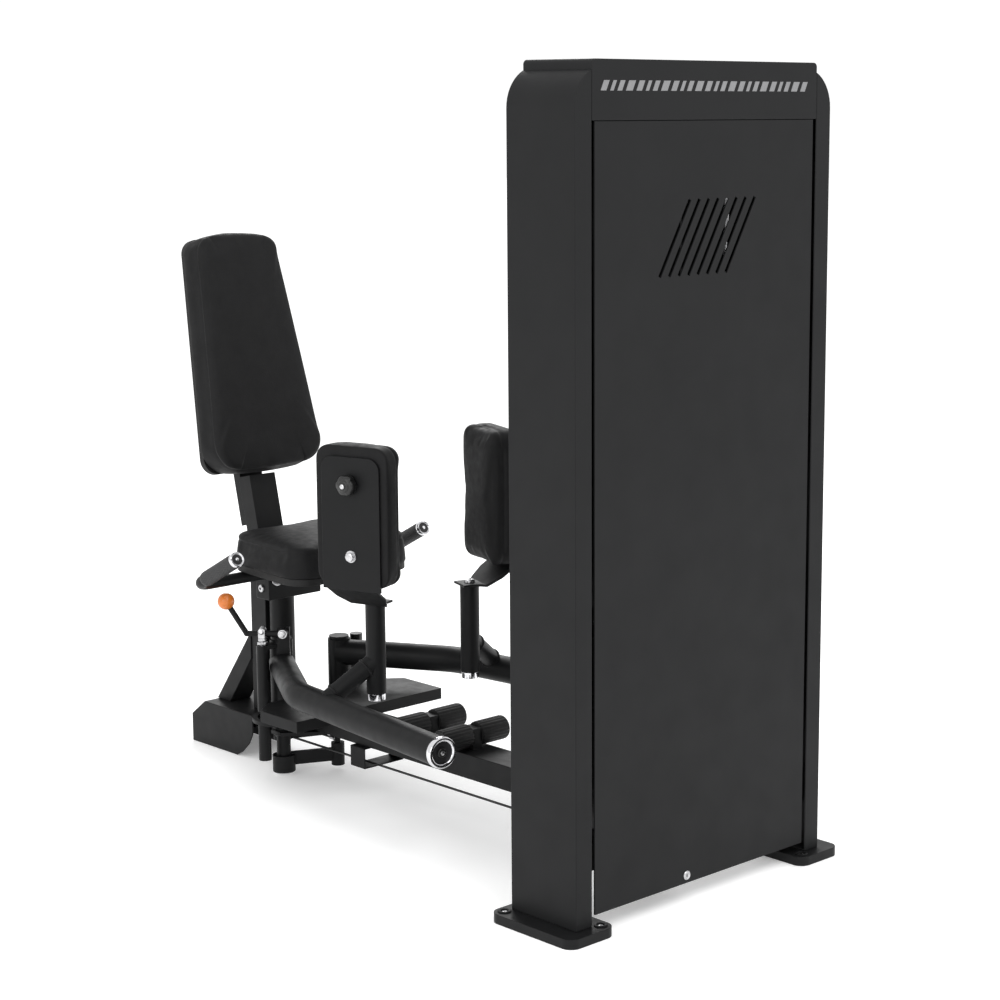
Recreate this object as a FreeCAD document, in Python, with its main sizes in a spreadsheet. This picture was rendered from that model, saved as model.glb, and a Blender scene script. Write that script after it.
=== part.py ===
import FreeCAD, Part
import math
import os

import Sketcher

# Hip abductor and adductor machine. Millimetres, +Z up, +X the way the user faces (towards the
# weight tower), +Y to the user's left. The origin is on the floor, in the middle of the outline.

Vector = FreeCAD.Vector
doc = FreeCAD.newDocument("HipMachine")
sheet = doc.addObject("Spreadsheet::Sheet", "Dim")

# Places along the machine are distances behind the tower's outer face, "..._back".
SIZES = {
    # weight tower
    "tower_face": 747.5, "tower_height": 1503, "tower_width": 650, "tower_depth": 165,
    "column_width": 39, "column_corner": 70, "header_rise": 10, "header_height": 100,
    "sheet_wall": 3, "panel_gap": 8, "panel_bottom": 37, "skin_gap": 0.3,
    "slot_length": 150, "slot_width": 7, "slot_pitch": 24, "slot_count": 8, "slot_tilt": 30,
    "vent_height": 1205, "window_width": 200, "window_height": 520, "window_bottom": 178,
    "foot_length": 210, "foot_front": 25, "foot_inner": 250, "foot_width": 112,
    "foot_thickness": 18, "foot_corner": 22, "anchor_radius": 6, "anchor_inset": 20,
    # weight stack
    "stack_back": 68, "plate_width": 360, "plate_depth": 96, "plate_thickness": 25,
    "plate_pitch": 25.6, "resting_plates": 10, "lifted_plates": 4, "head_thickness": 30,
    "bumper_height": 14, "guide_spread": 120, "guide_radius": 12.7, "guide_clearance": 0.6,
    "stem_radius": 11, "stem_hole": 13, "pin_radius": 4.5, "pin_hole": 5,
    "top_beam_bottom": 1360, "top_beam_height": 40, "top_beam_depth": 100,
    # cable and its pulleys
    "cable_radius": 2.5, "cable_height": 66, "cable_side": 30, "cable_up_back": 150,
    "sheave_radius": 41, "sheave_rim": 5, "sheave_width": 10, "sheave_bore": 6.05, "axle_radius": 6,
    "top_sheave_height": 1300, "rear_sheave_back": 1340,
    # spine and seat frame
    "beam_width": 80, "beam_height": 51, "beam_bottom": 101, "beam_wall": 4, "beam_front_back": 262,
    "column_back": 1259, "column_radius": 27, "post_width": 50, "post_depth": 54,
    "saddle_depth": 47, "saddle_width": 140, "saddle_bottom": 374, "saddle_top": 433,
    "saddle_front_back": 1209, "rail_height": 14, "rail_width": 20,
    "base_rear_back": 1520, "base_half_width": 66, "base_height": 64, "base_shelf_back": 1470,
    "base_front_back": 1290, "base_toe_back": 1350, "strut_width": 56,
    "pivot_plate_thickness": 8, "pivot_plate_half": 102, "pivot_plate_front_back": 1085,
    # seat and backrest
    "seat_front_back": 985, "seat_rear_back": 1268, "seat_half_width": 165, "seat_rear_half": 138,
    "seat_bottom": 462, "seat_thickness": 66, "board_thickness": 15, "seat_corner": 55,
    "back_bottom": 648, "back_length": 528, "back_thickness": 68, "back_tilt": 13,
    "back_bottom_half": 148, "back_top_half": 105, "back_corner": 42, "back_front_back": 1265.5,
    "back_post_width": 68, "back_post_depth": 42, "back_post_length": 250,
    "spine_width": 60, "spine_thickness": 24, "spine_gap": 14.2, "spine_drop": 110, "spine_length": 478,
    # handles and foot rollers
    "handle_side": 250, "handle_back": 1222, "handle_height": 433, "handle_rise": 27.4,
    "handle_radius": 12.5, "handle_length": 165, "handle_bend": 35, "grip_radius": 16,
    "grip_length": 122, "cap_radius": 16.5, "cap_thickness": 7,
    "roller_radius": 25, "roller_half": 84, "roller_height": 178.3, "roller_one_back": 768,
    "roller_two_back": 636, "roller_core": 9, "tread_half": 196, "tread_height": 176,
    "tread_rear_back": 1120, "tread_front_back": 955,
    # arms and their pivots
    "pivot_back": 1160, "pivot_side": 78, "shaft_radius": 15, "hub_radius": 24.5, "hub_bore": 15.05,
    "shaft_bottom": 8, "crank_height": 38, "crank_reach": 50, "crank_width": 12, "boss_radius": 14.5,
    "housing_radius": 22, "housing_top": 118, "lug_reach": 30, "lug_turn": 20, "link_play": 2.2,
    "link_bottom": 72, "link_thickness": 8, "link_pin_radius": 6, "link_width": 26,
    "hub_bottom": 131, "right_hub_top": 300, "left_hub_top": 276, "arm_height": 245, "arm_radius": 28.5,
    "arm_wall": 3, "arm_end_back": 415, "arm_end_side": 274, "arm_bend_back": 925, "arm_bend_side": 214,
    "arm_bend_radius": 150, "range_plate_bottom": 122, "range_plate_thickness": 8, "range_plate_radius": 66,
    # range lever and its pull pin, measured from the right pivot along and across the lever
    "lever_across": 34, "lever_pivot_along": -9, "pin_along": 35, "lever_corner_along": 68,
    "ball_along": 110, "lever_height": 320, "lever_radius": 6, "ball_height": 390, "ball_radius": 18,
    "lever_heading": -135, "pin_tube_radius": 13.5, "pin_tube_bottom": 150, "pull_pin_radius": 7,
    "pin_tip_radius": 4.5, "pin_tip_bottom": 126.2, "pin_step": 12.5,
    # pad posts
    "pad_back": 780, "pad_side": 126, "pad_post_radius": 20, "pad_post_bottom": 262,
    "pad_post_top": 446, "pad_shaft_radius": 12, "pad_bore": 12.05, "brace_radius": 19,
    "pad_toe": 18, "pad_width": 170, "pad_height": 284, "pad_thickness": 60, "pad_bottom": 492,
    "brace_foot_back": 815, "brace_foot_side": 225, "brace_foot_height": 258, "brace_head_height": 330,
    "pad_plate_offset": 78, "pad_plate_width": 134, "pad_plate_thickness": 5, "pad_fold_half": 58,
}


def fill_sheet():
    for row, (alias, number) in enumerate(SIZES.items(), start=1):
        sheet.set(f"A{row}", alias)
        sheet.set(f"B{row}", str(number))
        sheet.setAlias(f"B{row}", alias)
    doc.recompute()


def size(expression):
    """The value of an expression in the sheet's aliases."""
    return float(sheet.evalExpression(dim(expression)))


def dim(expression):
    """The expression with the sheet's name put before each alias."""
    words = str(expression).replace("(", " ( ").replace(")", " ) ").split()
    return " ".join("Dim." + word if word in SIZES else word for word in words)


def back(distance):
    """The X of a place that is a distance behind the tower's outer face."""
    return f"tower_face - ( {distance} )"


NODES = {}
ALONG_X = ((0, 1, 0), 90)
ALONG_Y = ((1, 0, 0), -90)
ALONG_MINUS_Y = ((1, 0, 0), 90)


def node(name, shape):
    """Keeps a finished sub-part under the name of its file."""
    shape.Label = name
    NODES[name] = shape
    return shape


def place(shape, at, turn=None):
    if turn:
        axis, angle = turn
        rotation = FreeCAD.Rotation(Vector(*axis), size(angle))
        shape.Placement = FreeCAD.Placement(Vector(), rotation)
        if not isinstance(angle, (int, float)):
            shape.setExpression("Placement.Rotation.Angle", dim(angle))
    for axis, expression in zip("xyz", at):
        shape.setExpression(f"Placement.Base.{axis}", dim(expression))
    return shape


def box(name, lengths, at, turn=None):
    """A box from its lowest corner."""
    shape = doc.addObject("Part::Box", name)
    for side, expression in zip(("Length", "Width", "Height"), lengths):
        shape.setExpression(side, dim(expression))
    return place(shape, at, turn)


def rod(name, radius, length, at, turn=None):
    shape = doc.addObject("Part::Cylinder", name)
    shape.setExpression("Radius", dim(radius))
    shape.setExpression("Height", dim(length))
    return place(shape, at, turn)


def rod_between(name, radius, start, end):
    shape = doc.addObject("Part::Cylinder", name)
    shape.setExpression("Radius", dim(radius))
    shape.Height = (end - start).Length
    shape.Placement = FreeCAD.Placement(start, FreeCAD.Rotation(Vector(0, 0, 1), end - start))
    return shape


def ball_at(name, radius, centre):
    shape = doc.addObject("Part::Sphere", name)
    shape.setExpression("Radius", dim(radius))
    shape.Placement = FreeCAD.Placement(centre, FreeCAD.Rotation())
    return shape


def join(name, *shapes):
    shape = doc.addObject("Part::MultiFuse", name)
    shape.Shapes = list(shapes)
    return shape


def group(name, *shapes):
    """Separate solids kept together in one sub-part."""
    shape = doc.addObject("Part::Compound", name)
    shape.Links = list(shapes)
    return shape


def cut(name, base, *tools):
    shape = doc.addObject("Part::Cut", name)
    shape.Base = base
    shape.Tool = tools[0] if len(tools) == 1 else group(name + "Tools", *tools)
    return shape


def tube(name, outer, inner, length, at, turn=None):
    wall = rod(name + "Outer", outer, length, at, turn)
    return cut(name, wall, rod(name + "Inner", inner, length, at, turn))


def hollow_bar(name, lengths, wall, at, open_axis):
    """A rectangular tube, open at both ends along one axis."""
    inner_lengths = []
    inner_at = []
    for axis, length, corner in zip("xyz", lengths, at):
        inset = "-1" if axis == open_axis else wall
        inner_lengths.append(f"{length} - 2 * {inset}")
        inner_at.append(f"{corner} + {inset}")
    outer = box(name + "Outer", lengths, at)
    return cut(name, outer, box(name + "Inner", inner_lengths, inner_at))


def mirrored(name, source):
    """The same piece on the user's left."""
    shape = doc.addObject("Part::Mirroring", name)
    shape.Source = source
    shape.Normal = (0, 1, 0)
    return shape


def rounded(name, base, radius, wanted):
    """Fillets the edges of a shape that a test picks out."""
    doc.recompute()
    shape = doc.addObject("Part::Fillet", name)
    shape.Base = base
    amount = size(radius)
    edges = enumerate(base.Shape.Edges, start=1)
    shape.Edges = [(i, amount, amount) for i, edge in edges if wanted(edge)]
    return shape


def runs_along(axis):
    def test(edge):
        if edge.Curve.TypeId != "Part::GeomLine":
            return False
        return abs(edge.Curve.Direction.dot(Vector(*axis))) > 0.999
    return test


def origin_plane(body, role):
    return [feature for feature in body.Origin.OriginFeatures if feature.Role == role][0]


def new_sketch(body, name, role):
    sketch = body.newObject("Sketcher::SketchObject", name)
    sketch.AttachmentSupport = (origin_plane(body, role), [""])
    sketch.MapMode = "FlatFace"
    return sketch


def fix(sketch, kind, line, end, expression):
    index = sketch.addConstraint(Sketcher.Constraint(kind, -1, 1, line, end, size(expression)))
    sketch.setExpression(f"Constraints[{index}]", dim(expression))


def outline(sketch, corners):
    """A closed outline of straight lines whose corners are bound to the sheet."""
    points = [Vector(size(u), size(v), 0) for u, v in corners]
    first = sketch.GeometryCount
    count = len(points)
    for i in range(count):
        sketch.addGeometry(Part.LineSegment(points[i], points[(i + 1) % count]))
    for i in range(count):
        sketch.addConstraint(Sketcher.Constraint("Coincident", first + i, 2, first + (i + 1) % count, 1))
    for i, (u, v) in enumerate(corners):
        fix(sketch, "DistanceX", first + i, 1, u)
        fix(sketch, "DistanceY", first + i, 1, v)


def circle(sketch, u, v, radius):
    ring = Part.Circle(Vector(size(u), size(v), 0), Vector(0, 0, 1), size(radius))
    index = sketch.addGeometry(ring)
    constraint = sketch.addConstraint(Sketcher.Constraint("Radius", index, size(radius)))
    sketch.setExpression(f"Constraints[{constraint}]", dim(radius))
    fix(sketch, "DistanceX", index, 3, u)
    fix(sketch, "DistanceY", index, 3, v)


def padded_body(name, role, draw, length, at, turn=None, symmetric=False):
    """A body made by padding the outline that draw puts in a sketch."""
    body = doc.addObject("PartDesign::Body", name)
    sketch = new_sketch(body, name + "Outline", role)
    draw(sketch)
    pad = body.newObject("PartDesign::Pad", name + "Pad")
    pad.Profile = sketch
    pad.setExpression("Length", dim(length))
    pad.SideType = "Symmetric" if symmetric else "One side"
    body.Tip = pad
    return place(body, at, turn)


def plate(name, role, corners, thickness, at, turn=None, symmetric=False):
    def draw(sketch):
        outline(sketch, corners)
    return padded_body(name, role, draw, thickness, at, turn, symmetric)


def column_outline(sketch, inset):
    """The end view of a column: straight outside, curving in over the top."""
    inner = f"tower_width / 2 - column_width - {'0' if inset == '0' else '1'}"
    outer = f"tower_width / 2 - {inset}"
    bottom = f"foot_thickness + {inset}"
    centre_y = "tower_width / 2 - column_corner"
    centre_z = "tower_height - header_rise - column_corner"
    radius = size(f"column_corner - {inset}")
    reach = size(inner) - size(centre_y)
    top = size(centre_z) + math.sqrt(radius ** 2 - reach ** 2)
    points = [Vector(size(inner), size(bottom), 0), Vector(size(outer), size(bottom), 0),
              Vector(size(outer), size(centre_z), 0), Vector(size(inner), top, 0)]
    centre = Vector(size(centre_y), size(centre_z), 0)
    for start, end in ((0, 1), (1, 2), (3, 0)):
        sketch.addGeometry(Part.LineSegment(points[start], points[end]))
    end_angle = math.acos(reach / radius)
    sketch.addGeometry(Part.ArcOfCircle(Part.Circle(centre, Vector(0, 0, 1), radius), 0, end_angle))
    for joined in ((0, 2, 1, 1), (1, 2, 3, 1), (3, 2, 2, 1), (2, 2, 0, 1)):
        sketch.addConstraint(Sketcher.Constraint("Coincident", *joined))
    for line, end, expression in ((0, 1, inner), (0, 2, outer), (1, 2, outer), (2, 1, inner)):
        fix(sketch, "DistanceX", line, end, expression)
    for line, end, expression in ((0, 1, bottom), (0, 2, bottom), (1, 2, centre_z)):
        fix(sketch, "DistanceY", line, end, expression)
    fix(sketch, "DistanceY", 3, 3, centre_z)


def make_column():
    """A bent-steel channel, open towards the weights."""
    outer = padded_body(
        "ColumnOuter", "YZ_Plane", lambda sketch: column_outline(sketch, "0"),
        "tower_depth", (back("tower_depth"), "0", "0"))
    inner = padded_body(
        "ColumnInner", "YZ_Plane", lambda sketch: column_outline(sketch, "sheet_wall"),
        "tower_depth - 2 * sheet_wall", (back("tower_depth - sheet_wall"), "0", "0"))
    left = cut("ColumnLeft", outer, inner)
    node("tower_column_left", left)
    node("tower_column_right", mirrored("ColumnRight", left))


def make_header():
    half = "tower_width / 2 - column_width - skin_gap"
    bottom = "tower_height - header_height"
    outer = rounded(
        "HeaderOuter", box("HeaderBlock", ("tower_depth", f"2 * ( {half} )", "header_height"),
                           (back("tower_depth"), f"-1 * ( {half} )", bottom)),
        "8", lambda edge: runs_along((1, 0, 0))(edge) and edge.BoundBox.ZMin > size(f"{bottom} + 5"))
    inner = box("HeaderInner",
                ("tower_depth - 2 * sheet_wall", f"2 * ( {half} - sheet_wall )", "header_height"),
                (back("tower_depth - sheet_wall"), f"-1 * ( {half} - sheet_wall )", f"{bottom} - sheet_wall"))
    node("tower_header", cut("Header", outer, inner))


def make_front_panel():
    """The outer panel, with a group of slanted vents near its top."""
    half = "tower_width / 2 - column_width - panel_gap"
    top = "tower_height - header_height - 1"
    sheet_box = box("PanelSheet", ("sheet_wall", f"2 * ( {half} )", f"{top} - panel_bottom"),
                    (back("sheet_wall + 1.5"), f"-1 * ( {half} )", "panel_bottom"))
    vents = []
    tilt = math.radians(size("slot_tilt"))
    for number in range(int(size("slot_count"))):
        side = f"( {number} - ( slot_count - 1 ) / 2 ) * slot_pitch"
        low_y = f"{side} - slot_length / 2 * {math.sin(tilt):.6f} - slot_width / 2"
        low_z = f"vent_height - slot_length / 2 * {math.cos(tilt):.6f}"
        vents.append(box(f"Vent{number}", ("20", "slot_width", "slot_length"),
                         (back("12"), low_y, low_z), ((1, 0, 0), -size("slot_tilt"))))
    node("tower_front_panel", cut("FrontPanel", sheet_box, *vents))


def make_rear_panel():
    """The panel on the user's side, with a window for choosing the weight."""
    half = "tower_width / 2 - column_width - skin_gap"
    bottom = "beam_bottom + beam_height + 4"
    top = "tower_height - header_height - 1"
    outer = box("RearSheet", ("sheet_wall", f"2 * ( {half} )", f"{top} - ( {bottom} )"),
                (back("tower_depth"), f"-1 * ( {half} )", bottom))
    window = box("RearWindow", ("20", "window_width", "window_height"),
                 (back("tower_depth + 5"), "-1 * window_width / 2", "window_bottom"))
    node("tower_rear_panel", cut("RearPanel", outer, window))


def make_tower_frame():
    inside = "tower_width / 2 - sheet_wall"
    base = hollow_bar("TowerBaseBeam", ("60", f"2 * ( {inside} )", "beam_height"), "beam_wall",
                      (back("stack_back + 30"), f"-1 * ( {inside} )", "beam_bottom"), "y")
    top = hollow_bar("TowerTopBeam", ("top_beam_depth", f"2 * ( {inside} )", "top_beam_height"), "beam_wall",
                     (back("stack_back + 80"), f"-1 * ( {inside} )", "top_beam_bottom"), "y")
    node("tower_beams", group("TowerBeams", base, top))
    rods = []
    for name, sign in (("GuideLeft", 1), ("GuideRight", -1)):
        start = "beam_bottom + beam_height"
        rods.append(rod(name, "guide_radius", f"top_beam_bottom - ( {start} )",
                        (back("stack_back"), f"{sign} * guide_spread", start)))
    node("guide_rods", group("GuideRods", *rods))


def make_feet():
    def draw(sketch):
        near, far = "foot_inner", "foot_inner + foot_width"
        front, rear = "tower_face + foot_front", "tower_face + foot_front - foot_length"
        outline(sketch, [(rear, near), (front, near), (front, far), (rear, far)])
        circle(sketch, "tower_face + foot_front - anchor_inset", "foot_inner + anchor_inset", "anchor_radius")
        circle(sketch, "tower_face + foot_front - foot_length + anchor_inset",
               "foot_inner + foot_width - anchor_inset", "anchor_radius")
    body = padded_body("FootPlateLeft", "XY_Plane", draw, "foot_thickness", ("0", "0", "0"))
    doc.recompute()
    fillet = body.newObject("PartDesign::Fillet", "FootCorners")
    pad = body.Group[1]
    upright = runs_along((0, 0, 1))
    box_limits = pad.Shape.BoundBox
    names = []
    for i, edge in enumerate(pad.Shape.Edges, start=1):
        to_side = min(abs(edge.BoundBox.YMin - box_limits.YMin), abs(edge.BoundBox.YMax - box_limits.YMax))
        if upright(edge) and to_side < 0.01:
            names.append(f"Edge{i}")
    fillet.Base = (pad, names)
    fillet.setExpression("Radius", dim("foot_corner"))
    body.Tip = fillet
    node("foot_plate_left", body)
    node("foot_plate_right", mirrored("FootPlateRight", body))


def stack_plates(name, count, bottom):
    """Weight plates, bored for the guide rods and the selector stem."""
    plates = []
    for number in range(count):
        plates.append(box(f"{name}{number}", ("plate_depth", "plate_width", "plate_thickness"),
                          (back("stack_back + plate_depth / 2"), "-1 * plate_width / 2",
                           f"{bottom} + {number} * plate_pitch")))
    height = f"{count} * plate_pitch + 20"
    bores = [rod(f"{name}StemBore", "stem_hole", height, (back("stack_back"), "0", f"{bottom} - 10"))]
    for side, sign in (("Left", 1), ("Right", -1)):
        bores.append(rod(f"{name}{side}Bore", "guide_radius + guide_clearance", height,
                         (back("stack_back"), f"{sign} * guide_spread", f"{bottom} - 10")))
    return plates, bores


STACK_BOTTOM = "beam_bottom + beam_height + bumper_height"
LIFTED_BOTTOM = f"{STACK_BOTTOM} + resting_plates * plate_pitch"
HEAD_BOTTOM = f"{LIFTED_BOTTOM} + lifted_plates * plate_pitch"
PIN_HEIGHT = f"{LIFTED_BOTTOM} + plate_thickness / 2"


def make_stack():
    plates, bores = stack_plates("Resting", int(size("resting_plates")), STACK_BOTTOM)
    node("weight_plates_resting", cut("RestingPlates", group("RestingBlocks", *plates), *bores))
    plates, bores = stack_plates("Lifted", int(size("lifted_plates")), LIFTED_BOTTOM)
    bores.append(rod("PinBore", "pin_hole", "plate_depth",
                     (back("stack_back + plate_depth"), "0", PIN_HEIGHT), ALONG_X))
    node("weight_plates_lifted", cut("LiftedPlates", group("LiftedBlocks", *plates), *bores))
    head = box("HeadBlock", ("plate_depth", "plate_width", "head_thickness"),
               (back("stack_back + plate_depth / 2"), "-1 * plate_width / 2", HEAD_BOTTOM))
    holes = [rod(f"HeadBore{sign}", "guide_radius + 0.08", "60",
                 (back("stack_back"), f"{sign} * guide_spread", f"{HEAD_BOTTOM} - 10")) for sign in (1, -1)]
    stem = rod("StemRod", "stem_radius", f"{HEAD_BOTTOM} + head_thickness + 34 - ( {STACK_BOTTOM} )",
               (back("stack_back"), "0", STACK_BOTTOM))
    pin_bore = rod("StemPinHole", "pin_hole", "60", (back("stack_back + 30"), "0", PIN_HEIGHT), ALONG_X)
    node("stack_head", cut("StackHead", join("HeadAndStem", head, stem), *holes, pin_bore))
    pin = rod("PinShaft", "pin_radius", "62", (back("stack_back + 56"), "0", PIN_HEIGHT), ALONG_X)
    knob = rod("PinKnob", "12", "14", (back("stack_back + 66"), "0", PIN_HEIGHT), ALONG_X)
    node("selector_pin", join("SelectorPin", pin, knob))
    bumpers = [tube(f"Bumper{side}", "guide_radius + 12", "guide_radius + 0.1", "bumper_height - 0.2",
                    (back("stack_back"), f"{sign} * guide_spread", "beam_bottom + beam_height"))
               for side, sign in (("Left", 1), ("Right", -1))]
    node("stack_bumpers", group("StackBumpers", *bumpers))


def sheave(name, radius, at, turn):
    """A grooved pulley: the cable's middle runs at the radius."""
    body = doc.addObject("PartDesign::Body", name)
    sketch = new_sketch(body, name + "Section", "XZ_Plane")
    half = "sheave_width / 2"
    groove = f"{radius} - cable_radius - 0.3"
    outline(sketch, [
        ("sheave_bore", f"-1 * {half}"), (f"{radius} + sheave_rim", f"-1 * {half}"),
        (f"{radius} + sheave_rim", "-1 * cable_radius - 1.5"), (groove, "-1 * cable_radius"),
        (groove, "cable_radius"), (f"{radius} + sheave_rim", "cable_radius + 1.5"),
        (f"{radius} + sheave_rim", half), ("sheave_bore", half)])
    turned = body.newObject("PartDesign::Revolution", name + "Turned")
    turned.Profile = sketch
    turned.ReferenceAxis = (sketch, ["V_Axis"])
    turned.Angle = 360
    body.Tip = turned
    return place(body, at, turn)


def cable_pipe(name, edges):
    """A solid of the cable's section along a path of lines and arcs."""
    path = Part.Wire(edges)
    start = edges[0].valueAt(edges[0].FirstParameter)
    heading = edges[0].tangentAt(edges[0].FirstParameter)
    section = Part.Wire(Part.Circle(start, heading, size("cable_radius")).toShape())
    feature = doc.addObject("Part::Feature", name)
    feature.Shape = path.makePipeShell([section], True, True)
    return feature


def arc_edge(start, middle, end):
    return Part.Arc(start, middle, end).toShape()


def line_edge(start, end):
    return Part.LineSegment(start, end).toShape()


def make_cable():
    """The cable: round the rear sheave, under the beam, up the tower and down to the weights."""
    side, height, radius = size("cable_side"), size("cable_height"), size("sheave_radius")
    rear_x = size(back("rear_sheave_back"))
    up_x = size(back("cable_up_back"))
    stack_x = size(back("stack_back"))
    low_x = up_x - radius
    top_z = size("top_sheave_height")
    rear_start = Vector(rear_x, side, height)
    rear_end = Vector(rear_x, -side, height)
    low_start = Vector(low_x, -side, height)
    low_end = Vector(up_x, -side, height + radius)
    diagonal = radius * math.sqrt(0.5)
    low_middle = Vector(low_x + diagonal, -side, height + radius - diagonal)
    top_start = Vector(up_x, -side, top_z)
    top_end = Vector(stack_x, 0, top_z)
    top_middle = (top_start + top_end) * 0.5 + Vector(0, 0, (top_end - top_start).Length / 2)
    node("cable_run", cable_pipe("CableRun", [
        arc_edge(rear_start, Vector(rear_x - side, 0, height), rear_end), line_edge(rear_end, low_start),
        arc_edge(low_start, low_middle, low_end), line_edge(low_end, top_start),
        arc_edge(top_start, top_middle, top_end)]))
    stem_top = f"{HEAD_BOTTOM} + head_thickness + 34"
    node("cable_drop", rod("CableDrop", "cable_radius", f"top_sheave_height - ( {stem_top} )",
                           (back("stack_back"), "0", stem_top)))
    tail = "rear_sheave_back - pivot_back + crank_reach - 6.2"
    node("cable_tail", rod("CableTail", "cable_radius", tail,
                           (back("rear_sheave_back"), "cable_side", "cable_height"), ALONG_X))


def make_sheaves():
    low_at = (back("cable_up_back + sheave_radius"), "-1 * cable_side", "cable_height + sheave_radius")
    node("low_sheave", sheave("LowSheave", "sheave_radius", low_at, ALONG_MINUS_Y))
    rear_at = (back("rear_sheave_back"), "0", "cable_height")
    node("rear_sheave", sheave("RearSheave", "cable_side", rear_at, None))
    across = size("cable_up_back - stack_back")
    swing = math.degrees(math.atan2(size("cable_side"), across))
    top_at = (back("( cable_up_back + stack_back ) / 2"), "-1 * cable_side / 2", "top_sheave_height")
    top = sheave("TopSheave", f"{math.hypot(across, size('cable_side')) / 2:.6f}", top_at, None)
    turn = FreeCAD.Rotation(Vector(0, 0, 1), swing) * FreeCAD.Rotation(Vector(1, 0, 0), 90)
    top.Placement = FreeCAD.Placement(top.Placement.Base, turn)
    node("top_sheave", top)
    middle = Vector(*(size(along) for along in top_at))
    normal = turn.multVec(Vector(0, 0, 1))
    half = size("sheave_width") / 2 + 12
    top_axle = doc.addObject("Part::Cylinder", "TopAxle")
    top_axle.setExpression("Radius", dim("axle_radius"))
    top_axle.Height = 2 * half
    top_axle.Placement = FreeCAD.Placement(middle - normal * half, turn)
    low_axle_at = (low_at[0], "-1 * beam_width / 2", low_at[2])
    low_axle = rod("LowAxle", "axle_radius", "20", low_axle_at, ALONG_Y)
    rear_axle = rod("RearAxle", "axle_radius", "40",
                    (back("rear_sheave_back"), "0", "beam_bottom - sheet_wall - 40"))
    node("sheave_axles", group("SheaveAxles", low_axle, rear_axle, top_axle))
    brackets = []
    for sign in (1, -1):
        cheek = doc.addObject("Part::Box", f"TopCheek{sign}")
        cheek.Length, cheek.Width = 44, 5
        cheek.setExpression("Height", dim("top_beam_bottom - top_sheave_height + 20"))
        outwards = normal * (sign * (size("sheave_width") / 2 + 4))
        corner = about_z(swing).multVec(Vector(-22, -5 if sign > 0 else 0, -20))
        cheek.Placement = FreeCAD.Placement(middle + outwards + corner, about_z(swing))
        brackets.append(cheek)
    faces = ("-1 * beam_width / 2", "-1 * beam_width / 2 + 16", "beam_width / 2 - 4")
    for number, inner_face in enumerate(faces):
        brackets.append(box(f"ForkCheek{number}",
                            ("beam_front_back - stack_back - 30", "4", "beam_bottom + beam_height - 80"),
                            (back("beam_front_back"), inner_face, "80")))
    holes = [rod("ForkBore", "axle_radius + 0.05", "beam_width", low_axle_at, ALONG_Y)]
    bore = doc.addObject("Part::Cylinder", "CheekBore")
    bore.Radius, bore.Height = size("axle_radius + 0.05"), 60
    bore.Placement = FreeCAD.Placement(middle - normal * 30, turn)
    holes.append(bore)
    node("sheave_brackets", cut("SheaveBrackets", group("BracketBlocks", *brackets), *holes))


def make_spine():
    beam_lengths = ("column_back - column_radius - beam_front_back", "beam_width", "beam_height")
    beam_at = (back("column_back - column_radius"), "-1 * beam_width / 2", "beam_bottom")
    node("main_beam", hollow_bar("MainBeam", beam_lengths, "beam_wall", beam_at, "x"))
    front_column = tube("ColumnFront", "column_radius", "column_radius - 4", "saddle_bottom - beam_bottom",
                        (back("column_back"), "0", "beam_bottom"))
    post_back = "column_back + column_radius + post_depth"
    rear_lengths = ("post_depth", "post_width", "saddle_top - beam_bottom")
    rear_column = hollow_bar("ColumnRear", rear_lengths, "beam_wall",
                             (back(post_back), "-1 * post_width / 2", "beam_bottom"), "z")
    outer = plate("BaseOuter", "XZ_Plane", [
        (back("base_rear_back"), "0"), (back("base_toe_back"), "0"), (back("base_toe_back - 22"), "12"),
        (back("base_front_back + 12"), "36"), (back("base_front_back"), "58"),
        (back("base_front_back"), "beam_bottom"),
        (back("base_shelf_back"), "beam_bottom"), (back("base_rear_back"), "base_height")],
        "2 * base_half_width", ("0", "0", "0"), symmetric=True)
    inner = plate("BaseInner", "XZ_Plane", [
        (back("base_rear_back - sheet_wall"), "-1"), (back("base_front_back - 1"), "-1"),
        (back("base_front_back - 1"), "beam_bottom - sheet_wall"),
        (back("base_shelf_back"), "beam_bottom - sheet_wall"),
        (back("base_rear_back - sheet_wall"), "base_height - sheet_wall")],
        "2 * base_half_width - 2 * sheet_wall", ("0", "0", "0"), symmetric=True)
    node("rear_base", cut("RearBase", outer, inner))
    strut = plate("Strut", "XZ_Plane", [
        (back(f"{post_back} + 134"), "beam_bottom"), (back(f"{post_back} + 84"), "beam_bottom"),
        (back(post_back), "216"), (back(post_back), "278")], "strut_width", ("0", "0", "0"), symmetric=True)
    front_back = "column_back - column_radius"
    gusset = plate("FrontGusset", "XZ_Plane", [
        (back(front_back), "beam_bottom + beam_height"),
        (back(f"{front_back} - 74"), "beam_bottom + beam_height"),
        (back(front_back), "238")], "10", ("0", "0", "0"), symmetric=True)
    node("seat_columns", group("SeatColumns", front_column, rear_column, strut, gusset))


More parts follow.
